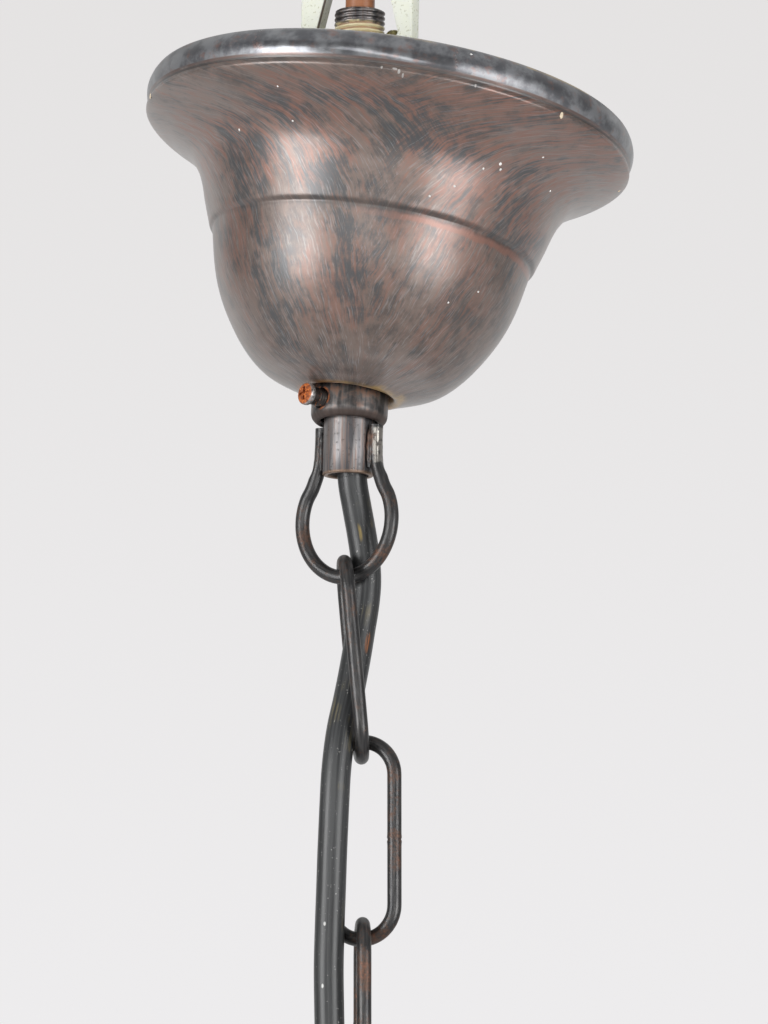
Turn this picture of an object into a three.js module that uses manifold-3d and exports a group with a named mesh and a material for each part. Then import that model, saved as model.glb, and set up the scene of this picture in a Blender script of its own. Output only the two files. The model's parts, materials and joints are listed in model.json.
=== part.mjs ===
// Ceiling suspension of an old chandelier: a nylon stirrup that hangs on the ceiling hook, a
// threaded steel tube screwed into it, a loose canopy on a collar, and a chain with the flex
// woven through it that carries the chandelier below.
//
// Millimetres, +Z up. The origin is the hook's seat, at the top of the stirrup's window.
// The front of the suspension faces -Y. Heights named "...Z" inside the assembly are measured
// from the mouth, the lower end of the upper tube, and the whole assembly hangs from the seat.
import * as THREE from "three";
import { mergeVertices } from "three/addons/utils/BufferGeometryUtils.js";
import Module from "manifold-3d";

const wasm = await Module();
wasm.setup();

// Clearances
const seatGap = 0.3; // between a piece and what it touches
const wireGap = 0.2; // between two wires that hang in each other
const overrun = 0.5; // how far a cutting tool runs past a face

// Facets
const wireSides = 8;
const wireSteps = 36;
const flexSides = 10;
const tubeSegments = 22;
const canopySegments = 40;
const smallSegments = 14;

// Upper tube: one length of steel tube with a thread at its top
const tubeR = 5;
const tubeBoreR = 4;
const tubeLength = 93.4;
const threadLength = 18;
const threadPitch = 1;
const threadDepth = 0.55;

// Wire that the two bails and the chain links are bent from
const wireR = 1.4;

// Upper bail, an open loop whose two legs are welded to the tube's sides
const bailHalfWidth = 10.1;
const bailHalfHeight = 11.2;
const bailDrop = 20.1; // mouth to the wire's centre at the loop's lowest point
const bailTwist = THREE.MathUtils.degToRad(-30); // its right side stands nearer the front
const bailShoulder = THREE.MathUtils.degToRad(38); // where the loop leaves its oval for the legs
const legTop = 9.75; // how far up the tube the legs reach
const legFlat = 0.3; // how far the legs are flattened where they lie on the tube
const legBow = 0.25; // how far a leg stands off the tube at the height of legBowZ
const legBowZ = 3;
const legStraightZ = 6;

// Nylon stirrup
const stirrupHalfWidth = 12.5;
const stirrupThickness = 3.4;
const stirrupTwist = THREE.MathUtils.degToRad(-28);
const threadShown = 6.1; // how much of the thread stands above the stirrup's bar
const barThickness = 2.8;
const windowHeight = 24.7;
const legWidth = 2.8;
const shoulderRise = 9.1; // height of the legs' straight part above the bar
const footRadius = 2;
const eyeR = 4.3;
const eyeWall = 6;
const bossWall = 2.7;
const bossDrop = 1.2; // the boss's top lies below the bar's top
const bossHeight = 6.7;

// Lock screw beside the tube's thread
const lockScrewR = 0.9;
const lockScrewHeadR = 1.6;
const lockScrewHeadHeight = 1.3;
const lockScrewLength = 6;
const lockScrewSlot = 0.45;
const lockScrewMargin = 0.35; // between its head and the stirrup's leg

// Collar that carries the canopy, cocked a little on the tube
const collarPlay = 0.6; // between the tube and the collar's bore
const collarWall = 1.95;
const collarHeight = 7.4;
const collarEdge = 1.1; // chamfer at its foot
const collarRound = 0.3; // chamfer at its top
const collarRest = 0.6; // its foot's middle lies this far above the bail's legs
const collarLean = [1.5, 6.0]; // degrees towards +X and +Y

// Grub screw in the collar
const grubAngle = THREE.MathUtils.degToRad(220); // about the collar, from +X
const grubR = 1.8;
const grubPoint = 0.4; // chamfer at its tip
const grubHeadR = 2.2;
const grubHeadHeight = 1.4;
const grubHeadRound = 0.35;
const grubShown = 4.25; // from the collar's side to the head's outer face
const grubTipGap = 0.5; // between its tip and the tube
const grubRecess = 0.9;
const grubRecessWidth = 0.65;
const grubRecessSpan = 2.9;
const grubDrop = 3.8; // below the collar's top

// Canopy: a bell of thin sheet with a cup at its bottom that sits over the collar's top.
// Its outline is given as [radius, height] from the collar's top, which the cup is centred on.
const sheet = 0.8;
const canopyLean = [6.84, 5.2];
const holePlay = 0.95; // between the tube and the hole in the cup
const cupDepth = 1.05; // the cup's flat lies this far above the collar's top
const cupCorner = 0.5;
const cupPlay = 0.45; // between the collar's side and the cup's wall
const cupFlare = 0.65; // how far the cup's wall opens towards its mouth
const ridgeRound = 0.7; // from the cup's mouth to the bell's lowest ring
const ridgeZ = -1.9;
const bowl = [[12.3, -0.8], [18, 1.6], [23.05, 6.5], [27.8, 14.2], [30.5, 22]];
const creaseR = 31.75; // below the pressed crease
const creaseZ = 27.9;
const creaseStep = 0.75;
const creaseRise = 1.1;
const bell = [[34.1, 33.7], [36.6, 40.5], [38.8, 43.4], [42.8, 46.3], [46.6, 48.4]];
const shoulderR = 48.35;
const shoulderZ = 50.6;
const groove = 0.5; // depth of the crease under the lip
const rimR = 48.5;
const rimZ = 57.95;
const rimBand = 5.6; // height of the upright lip
const rimCurl = 1.6;

// Chain of oval links
const linkWidth = 16;
const linkLength = 41.4;
const chainTopX = -0.35;
const firstLinkLean = 6.6; // degrees
const plumbLean = 1.43; // the lean of what hangs plumb, seen from the leaning tube
const linkTwists = [93, -18, 93]; // degrees about the link's own long axis

// Stem at the chain's lower end: a second bail on a short tube
const stemDrop = 27; // lower bail's top to the stem's mouth
const stemLength = 30;
const stemThread = 10;
const stemBailHalfWidth = 9.9;
const stemBailHalfHeight = 14.5;
const stemTwist = THREE.MathUtils.degToRad(-20);

// Flex: its route, from the end of its sheath above the tube down into the stem
const flexR = 2.9;
const flexStep = 4;
const stepsPerPoint = 20; // how finely the route's length is measured
const sheathShown = 3.4; // above the tube's top
const flexStraight = 7.4; // below the tube's top
const flexPoints = [
  [0, 0, tubeLength + sheathShown], [0, 0, tubeLength - flexStraight],
  [0.1, -0.1, 68], [-0.1, 0.1, 48], [0, -0.4, 28],
  [0.15, -0.55, 14], [0.3, -0.25, 8], [0.6, 0.15, 3], [1.0, 0.7, -1.5], [1.9, 1.45, -6],
  [2.95, 2.3, -11], [3.8, 2.75, -16], [4.15, 2.85, -20.5], [3.9, 2.6, -25], [3.25, 2.1, -30],
  [2.6, 1.2, -35], [1.85, 0.1, -40], [1.0, -1.15, -45], [0.15, -2.4, -49.5], [-0.42, -3.3, -54],
  [-0.8, -3.7, -59], [-0.95, -3.65, -64], [-1.05, -3.35, -69], [-1.15, -3.15, -75],
  [-1.2, -3.05, -82], [-1.27, -2.95, -90], [-1.25, -2.9, -97], [-0.95, -2.85, -105],
  [-0.62, -2.85, -112], [-0.3, -2.85, -118], [0.25, -2.8, -124], [1.25, -2.4, -130],
  [2.5, -1.75, -136], [3.8, -1.15, -142], [4.9, -0.6, -148], [5.65, -0.25, -154],
  [5.98, -0.05, -160], [6.06, 0, -167], [6.06, 0, -174],
];
// The point of the route that lies beside each chain joint, and its two ends
const flexCuts = { top: 0, firstLink: 12, secondLink: 19, thirdLink: 25, stem: 30, end: 38 };

// Cores above the sheath, and the connector strip that they end in
const coreR = 1.15;
const coreStarts = [[-1.35, -0.8], [0, 1.55], [1.35, -0.8]];
const coreRise = 19.2; // from the sheath's end to the strip's foot
// A core's way: the share of its pole's offset, the distance back, and the height over the sheath's
// end, then the same for its turn up into the pole, measured from the pole's axis and foot
const coreWay = [[0.35, 6.2, 7.6], [0.62, 10.6, 9.6]];
const coreTurn = [[0.88, -1.6, -6.9], [1, -0.2, -3]];
const coreLean = [0.2, 2]; // the first bend back, over the sheath's end
const coreSpread = [0.06, 2.2, 5];
const poleCount = 3;
const poleSpacing = 9;
const stripY = 16;
const stripHeight = 15;
const poleR = 4.1;
const webThickness = 3.2;
const insertR = 2.5;
const insertBoreR = 1.4;
const insertLength = 13;
const conductorR = 0.7;
const conductorLength = 6.5;
const terminalScrewR = 1.1;
const terminalScrewPlay = 0.2;
const terminalHeadR = 1.75;
const terminalHeadHeight = 1.5;
const terminalHeadRound = 0.2;
const terminalSlot = 0.5;
const terminalSlotDepth = 0.6;
const terminalScrewSpacing = 7;
const chimneyWall = 0.85;
const chimneyReach = 6.4; // from a pole's axis to the mouth of its screw hole

// Sizes that follow from the ones above
const barTopZ = tubeLength - threadShown;
const seatZ = barTopZ + windowHeight;
const eyeZ = seatZ - eyeR;
const windowHalfWidth = stirrupHalfWidth - legWidth;
const bossR = tubeR + seatGap + bossWall;
const bossTopZ = barTopZ - bossDrop;
const bossFootZ = bossTopZ - bossHeight;
const lockScrewOffset = windowHalfWidth - lockScrewHeadR - lockScrewMargin;
const collarBoreR = tubeR + collarPlay;
const collarR = collarBoreR + collarWall;
const collarMiddleZ = legTop + collarRest + collarHeight / 2;
const grubReach = collarR + grubShown;
const canopyHoleR = tubeR + holePlay;
const cupR = collarR + cupPlay;
const cupMouthR = cupR + cupFlare;
const ridgeR = cupMouthR + ridgeRound;
const linkPitch = linkLength - 2 * wireR;
const hookDistance = 2 * wireR + wireGap;
const stripZ = tubeLength + sheathShown + coreRise;
const insertFootZ = stripZ + (stripHeight - insertLength) / 2;
const chimneyR = terminalHeadR + seatGap + chimneyWall;

// Materials
const finish = (color, roughness, metalness) =>
  new THREE.MeshStandardMaterial({ color, roughness, metalness });
const paint = finish(0x3b302d, 0.45, 0.4);
const tubeSteel = finish(0x7a706c, 0.4, 0.8);
const darkWire = finish(0x2c2724, 0.5, 0.6);
const collarSteel = finish(0x4a4542, 0.45, 0.7);
const rustySteel = finish(0xa0522d, 0.7, 0.4);
const nylon = finish(0xd9dcc8, 0.5, 0);
const sheath = finish(0x2a2a2a, 0.5, 0);
const polyethylene = finish(0xe6e4da, 0.5, 0);
const brass = finish(0xb08d4a, 0.35, 0.9);
const copper = finish(0xb4693c, 0.4, 0.9);
const coreColours = { live: 0x6b3a1e, neutral: 0x2f5fa8, earth: 0x7fa83a };

// A manifold solid of a closed geometry, whichever way its faces were wound
function solidOf(geometry) {
  const bare = geometry.index ? geometry.toNonIndexed() : geometry.clone();
  for (const name of Object.keys(bare.attributes)) {
    if (name !== "position") bare.deleteAttribute(name);
  }
  const merged = mergeVertices(bare, 1e-4);
  const index = merged.index.array;
  const faces = [];
  for (let i = 0; i < index.length; i += 3) {
    const [a, b, c] = [index[i], index[i + 1], index[i + 2]];
    if (a !== b && b !== c && c !== a) faces.push(a, b, c);
  }
  const place = merged.attributes.position;
  const corner = (i) => new THREE.Vector3().fromBufferAttribute(place, i);
  let volume = 0;
  for (let i = 0; i < faces.length; i += 3) {
    volume += corner(faces[i]).dot(corner(faces[i + 1]).cross(corner(faces[i + 2])));
  }
  if (volume < 0) faces.reverse();
  return new wasm.Manifold(
    new wasm.Mesh({
      numProp: 3,
      vertProperties: place.array,
      triVerts: new Uint32Array(faces),
    }),
  );
}

// A drawable geometry of a manifold solid
function geometryOf(solid) {
  const mesh = solid.getMesh();
  const place = new Float32Array(mesh.numVert * 3);
  for (let i = 0; i < mesh.numVert; i++) {
    place.set(mesh.vertProperties.subarray(i * mesh.numProp, i * mesh.numProp + 3), i * 3);
  }
  const geometry = new THREE.BufferGeometry();
  geometry.setAttribute("position", new THREE.BufferAttribute(place, 3));
  geometry.setIndex(new THREE.BufferAttribute(mesh.triVerts, 1));
  geometry.computeVertexNormals();
  return geometry;
}

function piece(name, solid, material, parent) {
  const mesh = new THREE.Mesh(geometryOf(solid), material);
  mesh.name = name;
  parent.add(mesh);
  return mesh;
}

// A profile of [radius, height] points turned about Z; a closed one repeats its first point
function turned(profile, segments) {
  const points = profile.map(([r, z]) => new THREE.Vector2(r, z));
  return solidOf(new THREE.LatheGeometry(points, segments).rotateX(Math.PI / 2));
}

function ring(profile, segments) {
  return turned([...profile, profile[0]], segments);
}

// A round bar from one height to another on the axis through (x, y)
function bar(radius, fromZ, toZ, segments, x = 0, y = 0) {
  const shape = new THREE.CylinderGeometry(radius, radius, toZ - fromZ, segments);
  return solidOf(shape.rotateX(Math.PI / 2).translate(x, y, (fromZ + toZ) / 2));
}

// A round bar from one point to another
function rod(radius, from, to, segments) {
  const a = new THREE.Vector3(...from);
  const b = new THREE.Vector3(...to);
  const shape = new THREE.CylinderGeometry(radius, radius, a.distanceTo(b), segments);
  const turn = new THREE.Quaternion().setFromUnitVectors(
    new THREE.Vector3(0, 1, 0),
    b.clone().sub(a).normalize(),
  );
  const middle = a.add(b).multiplyScalar(0.5);
  return solidOf(shape.applyQuaternion(turn).translate(middle.x, middle.y, middle.z));
}

function box(sizes, centre) {
  return solidOf(new THREE.BoxGeometry(...sizes).translate(...centre));
}

// A round section swept along a curve, with flat ends
function swept(curve, radius, sides, steps) {
  const section = new THREE.Shape();
  for (let i = 0; i < sides; i++) {
    const angle = (2 * Math.PI * i) / sides;
    const [x, y] = [radius * Math.cos(angle), radius * Math.sin(angle)];
    if (i === 0) section.moveTo(x, y);
    else section.lineTo(x, y);
  }
  return solidOf(new THREE.ExtrudeGeometry(section, { steps, extrudePath: curve }));
}

// An upright group that leans by two angles in degrees, towards +X and towards +Y
function leaning([towardsX, towardsY], x, y, z) {
  const group = new THREE.Group();
  const up = new THREE.Vector3(
    Math.tan(THREE.MathUtils.degToRad(towardsX)),
    Math.tan(THREE.MathUtils.degToRad(towardsY)),
    1,
  ).normalize();
  group.quaternion.setFromUnitVectors(new THREE.Vector3(0, 0, 1), up);
  group.position.set(x, y, z);
  return group;
}

// A tube, plain from its first end and threaded up to its last
function threadedTube(fromZ, toZ, thread) {
  const count = Math.round(thread / threadPitch);
  const rootR = tubeR - threadDepth;
  const profile = [[tubeBoreR, fromZ], [tubeR, fromZ]];
  const ahead = Math.sign(toZ - fromZ) * threadPitch;
  for (let i = count; i > 0; i--) {
    const turn = toZ - i * ahead;
    profile.push([tubeR, turn + ahead / 4], [rootR, turn + (3 * ahead) / 4]);
  }
  profile.push([(tubeR + 3 * rootR) / 4, toZ], [tubeBoreR, toZ]);
  return ring(profile, tubeSegments);
}

// Centre line of a bail about Z: its loop hangs below the mouth and its legs rise beside it
class BailCurve extends THREE.Curve {
  constructor(halfWidth, halfHeight, drop, reach) {
    super();
    const legX = tubeR + wireR - legFlat;
    const centreZ = halfHeight - drop;
    const stops = 9;
    const side = [];
    for (let i = 0; i <= stops; i++) {
      const angle = -Math.PI / 2 + ((bailShoulder + Math.PI / 2) * i) / stops;
      const x = halfWidth * Math.cos(angle);
      side.push(new THREE.Vector3(x, 0, centreZ + halfHeight * Math.sin(angle)));
    }
    side.push(new THREE.Vector3(legX + legBow, 0, legBowZ));
    side.push(new THREE.Vector3(legX, 0, legStraightZ));
    side.push(new THREE.Vector3(legX, 0, reach));
    const mirrored = side.slice(1).map((p) => new THREE.Vector3(-p.x, 0, p.z));
    this.line = new THREE.CatmullRomCurve3([...mirrored.reverse(), ...side]);
  }
  getPoint(t, target = new THREE.Vector3()) {
    return this.line.getPoint(t, target);
  }
}

// A bail, flattened where its legs lie along the tube
function bail(halfWidth, halfHeight, drop, reach) {
  const curve = new BailCurve(halfWidth, halfHeight, drop, reach);
  const wire = swept(curve, wireR, wireSides, wireSteps);
  return wire.subtract(bar(tubeR + seatGap, 0, reach + overrun, tubeSegments));
}

// Half of an oval link, from the middle of one side over one end to the other side
class HalfLink extends THREE.Curve {
  constructor(sign) {
    super();
    this.sign = sign;
    this.endR = linkWidth / 2 - wireR;
    this.side = linkPitch / 2 - this.endR;
    this.total = 2 * this.side + Math.PI * this.endR;
  }
  getPoint(t, target = new THREE.Vector3()) {
    const along = t * this.total;
    const past = along - this.side - Math.PI * this.endR;
    if (along <= this.side) target.set(this.endR, 0, along);
    else if (past >= 0) target.set(-this.endR, 0, this.side - past);
    else {
      const angle = (along - this.side) / this.endR;
      target.set(this.endR * Math.cos(angle), 0, this.side + this.endR * Math.sin(angle));
    }
    return target.multiplyScalar(this.sign);
  }
}

function chainLink() {
  const half = (sign) => swept(new HalfLink(sign), wireR, wireSides, wireSteps / 2);
  return half(1).add(half(-1));
}

// Part of the flex's route between two of its points, with a small gap at each end
class Stretch extends THREE.Curve {
  constructor(route, from, to, gapBefore, gapAfter) {
    super();
    this.route = route;
    const lengths = route.getLengths();
    this.total = lengths[lengths.length - 1];
    this.start = lengths[from * stepsPerPoint] + gapBefore;
    this.stop = lengths[to * stepsPerPoint] - gapAfter;
  }
  getPoint(t, target = new THREE.Vector3()) {
    const along = this.start + (this.stop - this.start) * t;
    return this.route.getPointAt(Math.min(along / this.total, 1), target);
  }
}

// The stirrup's outline in the plane of its plate
function stirrupOutline() {
  const shape = new THREE.Shape();
  const foot = barTopZ - barThickness;
  const side = stirrupHalfWidth;
  const legEndZ = barTopZ + shoulderRise;
  const topR = eyeR + eyeWall;
  const bendZ = eyeZ - eyeR / 2;
  shape.moveTo(-side + footRadius, foot);
  shape.lineTo(side - footRadius, foot);
  shape.quadraticCurveTo(side, foot, side, foot + footRadius);
  shape.lineTo(side, legEndZ);
  shape.quadraticCurveTo(side, bendZ, topR, eyeZ);
  shape.absarc(0, eyeZ, topR, 0, Math.PI, false);
  shape.quadraticCurveTo(-side, bendZ, -side, legEndZ);
  shape.lineTo(-side, foot + footRadius);
  shape.quadraticCurveTo(-side, foot, -side + footRadius, foot);
  return shape;
}

// The window that the ceiling hook goes through, with a round seat at its top
function stirrupWindow() {
  const opening = new THREE.Shape();
  opening.moveTo(-windowHalfWidth, barTopZ);
  opening.lineTo(windowHalfWidth, barTopZ);
  opening.lineTo(eyeR, eyeZ);
  opening.absarc(0, eyeZ, eyeR, 0, Math.PI, false);
  opening.closePath();
  return opening;
}

// An upright plate that faces the front
function plate(shape, thickness) {
  const flat = new THREE.ExtrudeGeometry(shape, {
    depth: thickness,
    bevelEnabled: false,
    curveSegments: 6,
  });
  return solidOf(flat.translate(0, 0, -thickness / 2).rotateX(Math.PI / 2));
}

function stirrup() {
  const tubeHole = bar(tubeR + seatGap, bossFootZ - overrun, barTopZ + overrun, tubeSegments);
  const screwHole = bar(
    lockScrewR + seatGap, barTopZ - lockScrewLength, barTopZ + overrun, smallSegments,
    lockScrewOffset,
  );
  return plate(stirrupOutline(), stirrupThickness)
    .subtract(plate(stirrupWindow(), stirrupThickness + 2 * overrun))
    .add(bar(bossR, bossFootZ, bossTopZ, tubeSegments))
    .subtract(tubeHole)
    .subtract(screwHole);
}

function lockScrew() {
  const shankFoot = barTopZ - lockScrewLength + seatGap;
  const underHead = barTopZ + seatGap;
  const headTop = underHead + lockScrewHeadHeight;
  const screw = turned(
    [
      [0, shankFoot], [lockScrewR / 2, shankFoot], [lockScrewR, shankFoot + lockScrewR],
      [lockScrewR, underHead], [lockScrewHeadR, underHead],
      [lockScrewHeadR, underHead + lockScrewHeadHeight / 2],
      [(2 * lockScrewHeadR) / 3, headTop - lockScrewSlot / 4], [0, headTop],
    ],
    smallSegments,
  );
  const slot = box([lockScrewSlot, 3 * lockScrewHeadR, 2 * lockScrewSlot], [0, 0, headTop]);
  return screw.subtract(slot);
}

// The canopy's outer side, from the cup's hole down over the ridge and up to the lip
function canopyOutside() {
  const spline = (points, count) => {
    const curve = new THREE.SplineCurve(points.map(([r, z]) => new THREE.Vector2(r, z)));
    return curve.getPoints(count).map((p) => [p.x, p.y]);
  };
  const cup = [
    [canopyHoleR, cupDepth], [cupR - cupCorner, cupDepth], [cupR, cupDepth - cupCorner],
    [cupMouthR, ridgeZ + ridgeRound],
  ];
  const lower = spline([[ridgeR, ridgeZ], ...bowl, [creaseR, creaseZ]], 8);
  const upper = spline(
    [[creaseR + creaseStep, creaseZ + creaseRise], ...bell, [shoulderR, shoulderZ]], 8,
  );
  const lipFoot = rimZ - rimBand;
  const lip = [
    [shoulderR - groove, (shoulderZ + lipFoot) / 2], [rimR, lipFoot + groove],
    [rimR, rimZ - rimCurl / 2], [rimR - rimCurl / 2, rimZ],
  ];
  return [...cup, ...lower, ...upper, ...lip];
}

// The same side moved one sheet thickness inwards, along the outline's own normals
function canopyInside(outside) {
  return outside.map(([r, z], i) => {
    const [r0, z0] = outside[Math.max(i - 1, 0)];
    const [r1, z1] = outside[Math.min(i + 1, outside.length - 1)];
    const length = Math.hypot(r1 - r0, z1 - z0);
    return [r - (sheet * (z1 - z0)) / length, z + (sheet * (r1 - r0)) / length];
  });
}

function canopy() {
  const outside = canopyOutside();
  const inside = canopyInside(outside);
  const curlR = rimR - rimCurl - sheet;
  inside[0] = [canopyHoleR, cupDepth + sheet];
  inside[inside.length - 1] = [curlR, rimZ - sheet];
  return ring([...outside, [curlR, rimZ], ...inside.reverse()], canopySegments);
}

function collar() {
  const foot = -collarHeight;
  const body = ring(
    [
      [collarBoreR + collarRound, foot], [collarR - collarEdge, foot],
      [collarR - collarEdge / 3, foot + collarEdge / 3], [collarR, foot + collarEdge],
      [collarR, -collarRound], [collarR - collarRound, 0], [collarBoreR, 0],
      [collarBoreR, foot + collarRound],
    ],
    2 * smallSegments,
  );
  const [x, y] = [Math.cos(grubAngle), Math.sin(grubAngle)];
  const inner = tubeR;
  const outer = collarR + overrun;
  const hole = rod(
    grubR + seatGap, [x * inner, y * inner, -grubDrop], [x * outer, y * outer, -grubDrop],
    smallSegments,
  );
  return body.subtract(hole);
}

// Lies along +Z from the tube's side to the outer face of its head
function grubScrew() {
  const tip = tubeR + grubTipGap;
  const underHead = grubReach - grubHeadHeight;
  const screw = turned(
    [
      [0, tip], [grubR - grubPoint, tip], [grubR, tip + grubPoint], [grubR, underHead],
      [grubHeadR, underHead], [grubHeadR, grubReach - grubHeadRound],
      [grubHeadR - grubHeadRound, grubReach], [0, grubReach],
    ],
    smallSegments,
  );
  const face = [0, 0, grubReach];
  return screw
    .subtract(box([grubRecessSpan, grubRecessWidth, 2 * grubRecess], face))
    .subtract(box([grubRecessWidth, grubRecessSpan, 2 * grubRecess], face));
}

// Where each pole of the connector strip stands
const poleX = Array.from({ length: poleCount }, (_, i) => (i - (poleCount - 1) / 2) * poleSpacing);
const screwZs = [-1, 1].map((side) => stripZ + stripHeight / 2 + (side * terminalScrewSpacing) / 2);

function connectorStrip() {
  const top = stripZ + stripHeight;
  const span = poleX[poleX.length - 1] - poleX[0];
  const middle = [poleX[0] + span / 2, stripY, stripZ + stripHeight / 2];
  let body = box([span, webThickness, stripHeight], middle);
  for (const x of poleX) {
    body = body.add(bar(poleR, stripZ, top, smallSegments, x, stripY));
    for (const z of screwZs) {
      const mouth = [x, stripY + chimneyReach, z];
      body = body.add(rod(chimneyR, [x, stripY, z], mouth, smallSegments));
    }
  }
  for (const x of poleX) {
    const from = stripZ - overrun;
    const bore = bar(insertR + seatGap, from, top + overrun, smallSegments, x, stripY);
    body = body.subtract(bore);
    for (const z of screwZs) {
      const mouth = [x, stripY + chimneyReach + overrun, z];
      body = body.subtract(rod(terminalHeadR + seatGap, [x, stripY, z], mouth, smallSegments));
    }
  }
  return body;
}

function terminalInsert(x) {
  const top = insertFootZ + insertLength;
  let sleeve = ring(
    [
      [insertBoreR, insertFootZ], [insertR, insertFootZ], [insertR, top], [insertBoreR, top],
    ],
    smallSegments,
  ).translate([x, stripY, 0]);
  for (const z of screwZs) {
    const side = [x, stripY + insertR + overrun, z];
    const tapped = rod(terminalScrewR + terminalScrewPlay, [x, stripY, z], side, smallSegments);
    sleeve = sleeve.subtract(tapped);
  }
  return sleeve;
}

// Lies along +Z from its tip; the head's slot runs across it
function terminalScrew() {
  const tip = conductorR + seatGap;
  const underHead = insertR + seatGap;
  const face = underHead + terminalHeadHeight;
  const screw = turned(
    [
      [0, tip], [terminalScrewR, tip], [terminalScrewR, underHead], [terminalHeadR, underHead],
      [terminalHeadR, face - terminalHeadRound], [terminalHeadR - terminalHeadRound, face],
      [0, face],
    ],
    smallSegments,
  );
  const slot = [terminalSlot, 3 * terminalHeadR, 2 * terminalSlotDepth];
  return screw.subtract(box(slot, [0, 0, face]));
}

// A core's way from the sheath's end, back over the stirrup's side and up into its pole
function coreCurve(x, [startX, startY]) {
  const foot = tubeLength + sheathShown + seatGap;
  const end = insertFootZ - seatGap;
  const [leanBack, leanRise] = coreLean;
  const [spread, spreadBack, spreadRise] = coreSpread;
  const points = [
    [startX, startY, foot], [startX, startY + leanBack, foot + leanRise],
    [startX + x * spread, startY + spreadBack, foot + spreadRise],
    ...coreWay.map(([share, back, rise]) => [x * share, back, foot + rise]),
    ...coreTurn.map(([share, back, rise]) => [x * share, stripY + back, end + rise]),
    [x, stripY, end],
  ];
  return new THREE.CatmullRomCurve3(points.map((p) => new THREE.Vector3(...p)));
}

// Assembly
const suspension = new THREE.Group();
const assembly = new THREE.Group();
assembly.position.z = -seatZ;
suspension.add(assembly);

// Stirrup and its lock screw share the stirrup's twist
const stirrupGroup = new THREE.Group();
stirrupGroup.rotation.z = stirrupTwist;
assembly.add(stirrupGroup);
piece("hook_stirrup", stirrup(), nylon, stirrupGroup);
piece("stirrup_lock_screw", lockScrew(), brass, stirrupGroup).position.x = lockScrewOffset;

piece("hanger_tube", threadedTube(0, tubeLength, threadLength), tubeSteel, assembly);
const upperBail = bail(bailHalfWidth, bailHalfHeight, bailDrop, legTop);
piece("hanger_bail", upperBail, darkWire, assembly).rotation.z = bailTwist;

// Collar, cocked about its own middle, and the canopy whose cup centres on the collar's top
const collarSlopes = collarLean.map((a) => Math.tan(THREE.MathUtils.degToRad(a)));
const collarUp = new THREE.Vector3(...collarSlopes, 1).normalize();
const collarTop = collarUp.clone().multiplyScalar(collarHeight / 2);
collarTop.z += collarMiddleZ;
const collarGroup = leaning(collarLean, ...collarTop.toArray());
assembly.add(collarGroup);
piece("collar", collar(), collarSteel, collarGroup);
const screwGroup = new THREE.Group();
screwGroup.position.z = -grubDrop;
screwGroup.rotation.z = grubAngle;
collarGroup.add(screwGroup);
piece("grub_screw", grubScrew(), rustySteel, screwGroup).rotation.y = Math.PI / 2;
const canopyGroup = leaning(canopyLean, ...collarTop.toArray());
assembly.add(canopyGroup);
piece("canopy", canopy(), paint, canopyGroup);

// Chain: each link's top wire rides on the lowest wire of what it hangs in
const linkLeans = [-firstLinkLean, -plumbLean, -plumbLean];
let hookX = chainTopX;
let hookZ = -bailDrop + hookDistance;
linkLeans.forEach((lean, i) => {
  const slope = THREE.MathUtils.degToRad(lean);
  const group = new THREE.Group();
  group.position.set(
    hookX - (Math.sin(slope) * linkPitch) / 2,
    0,
    hookZ - (Math.cos(slope) * linkPitch) / 2,
  );
  group.rotation.y = slope;
  assembly.add(group);
  const link = piece(`chain_link_${i + 1}`, chainLink(), darkWire, group);
  link.rotation.z = THREE.MathUtils.degToRad(linkTwists[i]);
  hookX -= Math.sin(slope) * linkPitch;
  hookZ += hookDistance - Math.cos(slope) * linkPitch;
});

// Stem: its bail and tube are the upper ones turned upside down
const stemGroup = new THREE.Group();
stemGroup.position.set(hookX, 0, hookZ - stemDrop);
stemGroup.rotation.z = stemTwist;
assembly.add(stemGroup);
const stemBail = bail(stemBailHalfWidth, stemBailHalfHeight, stemDrop, legTop);
piece("stem_bail", stemBail, darkWire, stemGroup).rotation.x = Math.PI;
piece("stem_tube", threadedTube(0, -stemLength, stemThread), tubeSteel, stemGroup);

// Flex, in stretches that end beside the chain's joints
const route = new THREE.CatmullRomCurve3(
  flexPoints.map((p) => new THREE.Vector3(...p)), false, "centripetal",
);
route.arcLengthDivisions = (flexPoints.length - 1) * stepsPerPoint;
const flexStretches = [
  ["flex_hanger", flexCuts.top, flexCuts.firstLink],
  ["flex_link_1", flexCuts.firstLink, flexCuts.secondLink],
  ["flex_link_2", flexCuts.secondLink, flexCuts.thirdLink],
  ["flex_link_3", flexCuts.thirdLink, flexCuts.stem],
  ["flex_stem", flexCuts.stem, flexCuts.end],
];
for (const [name, from, to] of flexStretches) {
  const before = from === flexCuts.top ? 0 : seatGap / 2;
  const after = to === flexCuts.end ? 0 : seatGap / 2;
  const stretch = new Stretch(route, from, to, before, after);
  const steps = Math.round((stretch.stop - stretch.start) / flexStep);
  piece(name, swept(stretch, flexR, flexSides, steps), sheath, assembly);
}

// Cores, bared ends and the connector strip
piece("connector_strip", connectorStrip(), polyethylene, assembly);
Object.entries(coreColours).forEach(([name, colour], i) => {
  const x = poleX[i];
  const curve = coreCurve(x, coreStarts[i]);
  piece(`core_${name}`, swept(curve, coreR, 8, 14), finish(colour, 0.5, 0), assembly);
  const bared = bar(conductorR, insertFootZ, insertFootZ + conductorLength, 8, x, stripY);
  piece(`conductor_${name}`, bared, copper, assembly);
  piece(`terminal_insert_${i + 1}`, terminalInsert(x), brass, assembly);
  screwZs.forEach((z, k) => {
    const group = new THREE.Group();
    group.position.set(x, stripY, z);
    group.rotation.x = -Math.PI / 2;
    assembly.add(group);
    piece(`terminal_screw_${2 * i + k + 1}`, terminalScrew(), brass, group);
  });
});

export default suspension;
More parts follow.
